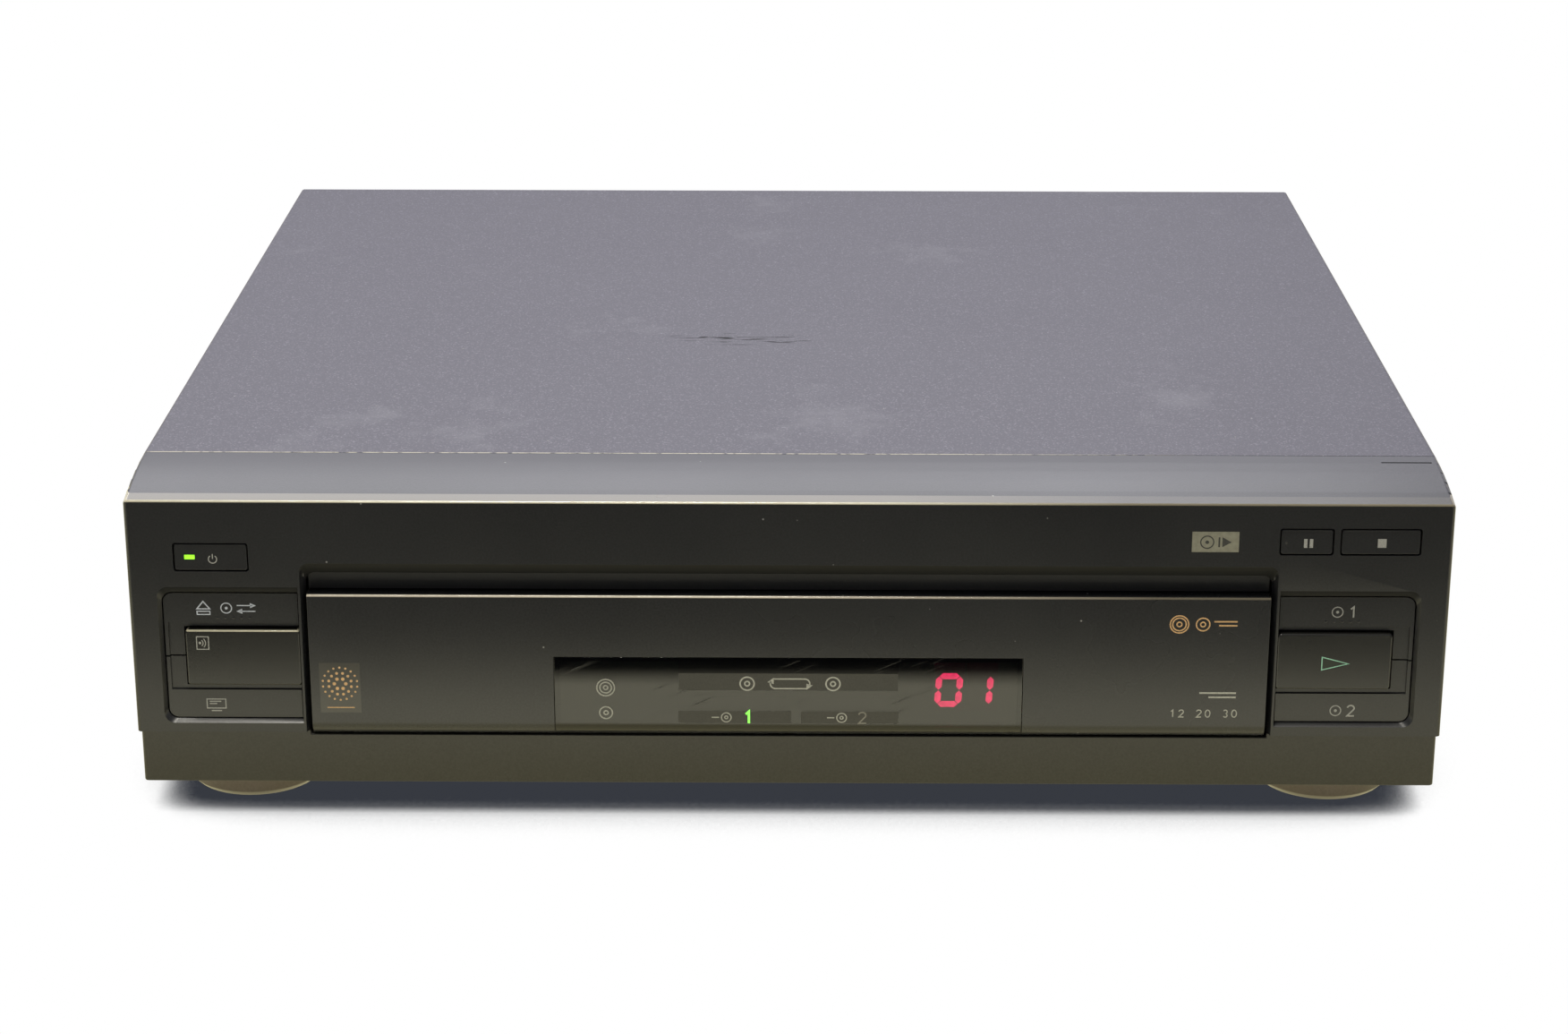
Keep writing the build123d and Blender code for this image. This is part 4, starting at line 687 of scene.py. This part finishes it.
def arrow_loop(x, z, width, height, stroke=0.45):
    """Two arrows that chase each other round a flat loop."""
    half = height / 2
    top = [(x - width / 2 + half * 0.6, z + half), (x + width / 2 - half, z + half)]
    low = [(x + width / 2 - half * 0.6, z - half), (x - width / 2 + half, z - half)]
    turn_right = circle(x + width / 2 - half, z, half, 8, 90.0, -120.0)
    turn_left = circle(x - width / 2 + half, z, half, 8, 270.0, -120.0)
    shapes = (outline(top + turn_right[1:], stroke, closed=False)
              + outline(low + turn_left[1:], stroke, closed=False))
    tip_right = turn_right[-1]
    tip_left = turn_left[-1]
    shapes.append([(tip_right[0] + 1.2, tip_right[1] + 0.3), (tip_right[0] - 0.9, tip_right[1] + 0.9),
                   (tip_right[0] - 0.9, tip_right[1] - 1.3)])
    shapes.append([(tip_left[0] - 1.2, tip_left[1] - 0.3), (tip_left[0] + 0.9, tip_left[1] - 0.9),
                   (tip_left[0] + 0.9, tip_left[1] + 1.3)])
    return shapes


def rings(x, z, radii, width):
    """Concentric rings."""
    return [strip for radius in radii for strip in outline(circle(x, z, radius), width)]


printed("window_panels", "tray", "smoked_window", panel_ink,
        [box_shape(0.0, 49.2, 72.0, 6.0), box_shape(-17.6, 36.7, 37.2, 4.3),
         box_shape(20.2, 36.7, 32.0, 4.3)], FRONT_FACE + FILM_SINK, FILM)
printed("reverse_symbol", "tray", "smoked_window", legend_ink,
        arrow_loop(0.6, 48.6, 13.0, 3.4) + rings(-13.5, 48.6, (2.3, 0.8), 0.5)
        + rings(14.7, 48.6, (2.3, 0.8), 0.5), FRONT_FACE)
printed("window_discs", "tray", "smoked_window", legend_ink,
        rings(-60.0, 47.0, (2.9, 1.9, 0.7), 0.4) + rings(-60.0, 38.1, (2.1, 0.7), 0.4), FRONT_FACE)
printed("side_rings", "tray", "smoked_window", legend_ink,
        rings(-20.4, 36.6, (1.6, 0.5), 0.36) + rings(17.6, 36.6, (1.6, 0.5), 0.36)
        + [box_shape(-24.0, 36.6, 2.4, 0.4), box_shape(14.0, 36.6, 2.4, 0.4)], FRONT_FACE)
printed("lit_one", "tray", "smoked_window", lit_green, figure("1", -13.2, 36.6, 4.1, 0.75), FRONT_FACE)
printed("dim_two", "tray", "smoked_window", faint_ink, figure("2", 24.4, 36.6, 3.9, 0.5), FRONT_FACE)
printed("disc_sizes", *TRAY, legend_ink, figures("12 20 30", 126.4, 38.6, 2.5, 2.9, 0.36), FRONT_FACE)
printed("gold_discs", *TRAY, gold_ink,
        rings(127.5, 70.0, (3.0, 2.2, 0.8), 0.42) + rings(135.2, 70.0, (2.2, 0.8), 0.42)
        + [box_shape(142.6, 71.0, 7.6, 0.5), box_shape(143.4, 69.6, 6.0, 0.5)], FRONT_FACE)
printed("pale_rule", *TRAY, legend_ink,
        [box_shape(141.0, 45.9, 12.0, 0.6), box_shape(142.5, 44.4, 9.0, 0.6)], FRONT_FACE)


FILM_X = -147.3


def stick_film():
    """A thin film with gold dots in rings at the tray front's left end."""
    film = finish("film", (0.045, 0.043, 0.034), 0.22, bump=0.02, grit=0.05)
    printed("film_label", *TRAY, film, [box_shape(FILM_X, 46.6, 13.4, 17.6)], FRONT_FACE + FILM_SINK, FILM)
    dots = []
    for ring, count, offset in ((1.9, 6, 0.0), (3.8, 12, 0.5), (5.7, 18, 0.5)):
        for step in range(count):
            turn = 2.0 * math.pi * (step + offset) / count
            centre = (FILM_X + ring * math.cos(turn), 48.0 + ring * math.sin(turn))
            dots.append(circle(*centre, 0.72 - 0.06 * ring, 10))
    printed("film_dots", *TRAY, gold_ink, dots, FRONT_FACE)
    printed("film_rule", *TRAY, gold_ink, [box_shape(FILM_X, 39.6, 9.0, 0.35)], FRONT_FACE)


stick_film()


# Display: lit seven-stroke digits on the two modules inside the case, seen
# through the window.  The modules stay with the case when the tray slides out.
DIGIT_FACE = -196.53
DIGIT_WIDE = 9.0
DIGIT_HIGH = 12.0
DIGIT_Z = 43.0
SEGMENTS = {"top": (0.0, 1.0, 0), "bottom": (0.0, -1.0, 0),
            "upper_left": (-1.0, 0.5, 1), "upper_right": (1.0, 0.5, 1),
            "lower_left": (-1.0, -0.5, 1), "lower_right": (1.0, -0.5, 1)}
DIGITS = {"0": ("top", "upper_left", "upper_right", "lower_left", "lower_right", "bottom"),
          "1": ("upper_right", "lower_right")}


def lit_digit(mark, x, z, width, height, stroke=2.1, gap=0.14, slant=0.06):
    """The strokes of one digit as six-cornered plates."""
    half_wide = (width - stroke) / 2
    half_high = (height - stroke) / 2
    shapes = []
    for segment in DIGITS[mark]:
        column, row, upright = SEGMENTS[segment]
        centre = Vector((x + column * half_wide, z + row * half_high))
        along = Vector((0.0, 1.0)) if upright else Vector((1.0, 0.0))
        side = Vector((1.0, 0.0)) if upright else Vector((0.0, 1.0))
        reach = (half_high / 2 if upright else half_wide) - gap
        corners = []
        for end, lift in ((-1.0, 0.0), (-0.72, 0.5), (0.72, 0.5), (1.0, 0.0), (0.72, -0.5), (-0.72, -0.5)):
            shrink = stroke / 2 * (1.0 - abs(lift) * 2.0) * (1.0 if end > 0 else -1.0)
            point = centre + along * (math.copysign(reach - stroke / 2, end) + shrink) + side * stroke * lift
            corners.append((point.x + slant * (point.y - z), point.y))
        shapes.append(corners)
    return shapes


lit_red = glowing("lit_red", (1.0, 0.018, 0.145), 9.5)
printed("lit_digits", "case", "digit_red", lit_red,
        lit_digit("0", 53.1, DIGIT_Z, DIGIT_WIDE, DIGIT_HIGH)
        + lit_digit("1", 63.2, DIGIT_Z, DIGIT_WIDE, DIGIT_HIGH), DIGIT_FACE)
# The modules' faces glow faintly red: a painted glow that stands for the halo round the lit digits.
dress(glowing("digit_glass_painted_glow", (0.06, 0.003, 0.012), 0.35), "digit_modules")


# Tray and loading drive: the moulded disc tray runs in two guides, and a small
# motor moves it by a belt, acetal wheels and the rack under the tray.
dress(finish("tray_plastic", (0.018, 0.018, 0.018), 0.5), "tray_carrier", "dust_flap", "tray_guides")
dress(pad_rubber, "tray_pads", "loading_belt")
dress(finish("brass_part", (0.75, 0.6, 0.3), 0.3, metal=1.0), "motor_pulley", "turn_pinion")
dress(finish("gear_acetal", (0.86, 0.85, 0.8), 0.45), "loading_pulley", "drive_wheel", "clamper",
      "feed_racks", "feed_pinion")


# Deck, spindle and pickup: zinc-plated sheet carries the motors, the cast
# platter and channels, and the moulded drum that turns the pickup over.
dress(finish("deck_zinc", (0.55, 0.56, 0.55), 0.35, metal=1.0), "mech_deck", "deck_posts", "clamp_arm",
      "clamp_post", "turn_bracket")
dress(finish("motor_can", (0.5, 0.5, 0.5), 0.3, metal=1.0), "loading_motor", "spindle_motor",
      "turn_motor", "transformer", "deck_pins")
dress(finish("cast_alloy", (0.66, 0.66, 0.67), 0.4, metal=1.0), "turntable", "lower_channel",
      "upper_channel", "pickup_sled")
dress(finish("drum_plastic", (0.09, 0.09, 0.095), 0.5), "turnover_drum")


# Boards: green laminate with black switches, chips, lamp holders and sockets'
# housing, screwed inside the chassis.
dress(finish("board_green", (0.05, 0.16, 0.07), 0.4), "key_boards", "display_board", "main_board",
      "power_board")
dress(finish("black_parts", (0.02, 0.02, 0.02), 0.5), "tact_switches", "main_chips", "jack_housing",
      "mains_bush", "lamp_modules", "objective_lens")


# Rear panel and sockets: a painted steel panel, and nickel phono sockets whose
# coloured plastic collars tell picture from sound.
dress(finish("rear_paint", (0.06, 0.06, 0.062), 0.45), "rear_panel")
dress(finish("jack_nickel", (0.75, 0.74, 0.7), 0.25, metal=1.0), "rear_jacks")
BACK_FACE = 198.0
COLLAR = 0.6 * MM
COLLAR_RADIUS = 5.1
COLLAR_WALL = 1.7
for label, across_at, colour in (("picture", 90.3, (0.62, 0.45, 0.03)),
                                 ("left", 106.3, (0.62, 0.61, 0.57)),
                                 ("right", 122.3, (0.45, 0.03, 0.03))):
    collar_paint = finish(label + "_plastic", colour, 0.35)
    for row, height in (("low", 38.5), ("high", 54.5)):
        printed(label + "_collar_" + row, "case", "switch_plastic", collar_paint,
                outline(circle(across_at, height, COLLAR_RADIUS), COLLAR_WALL), BACK_FACE, COLLAR)
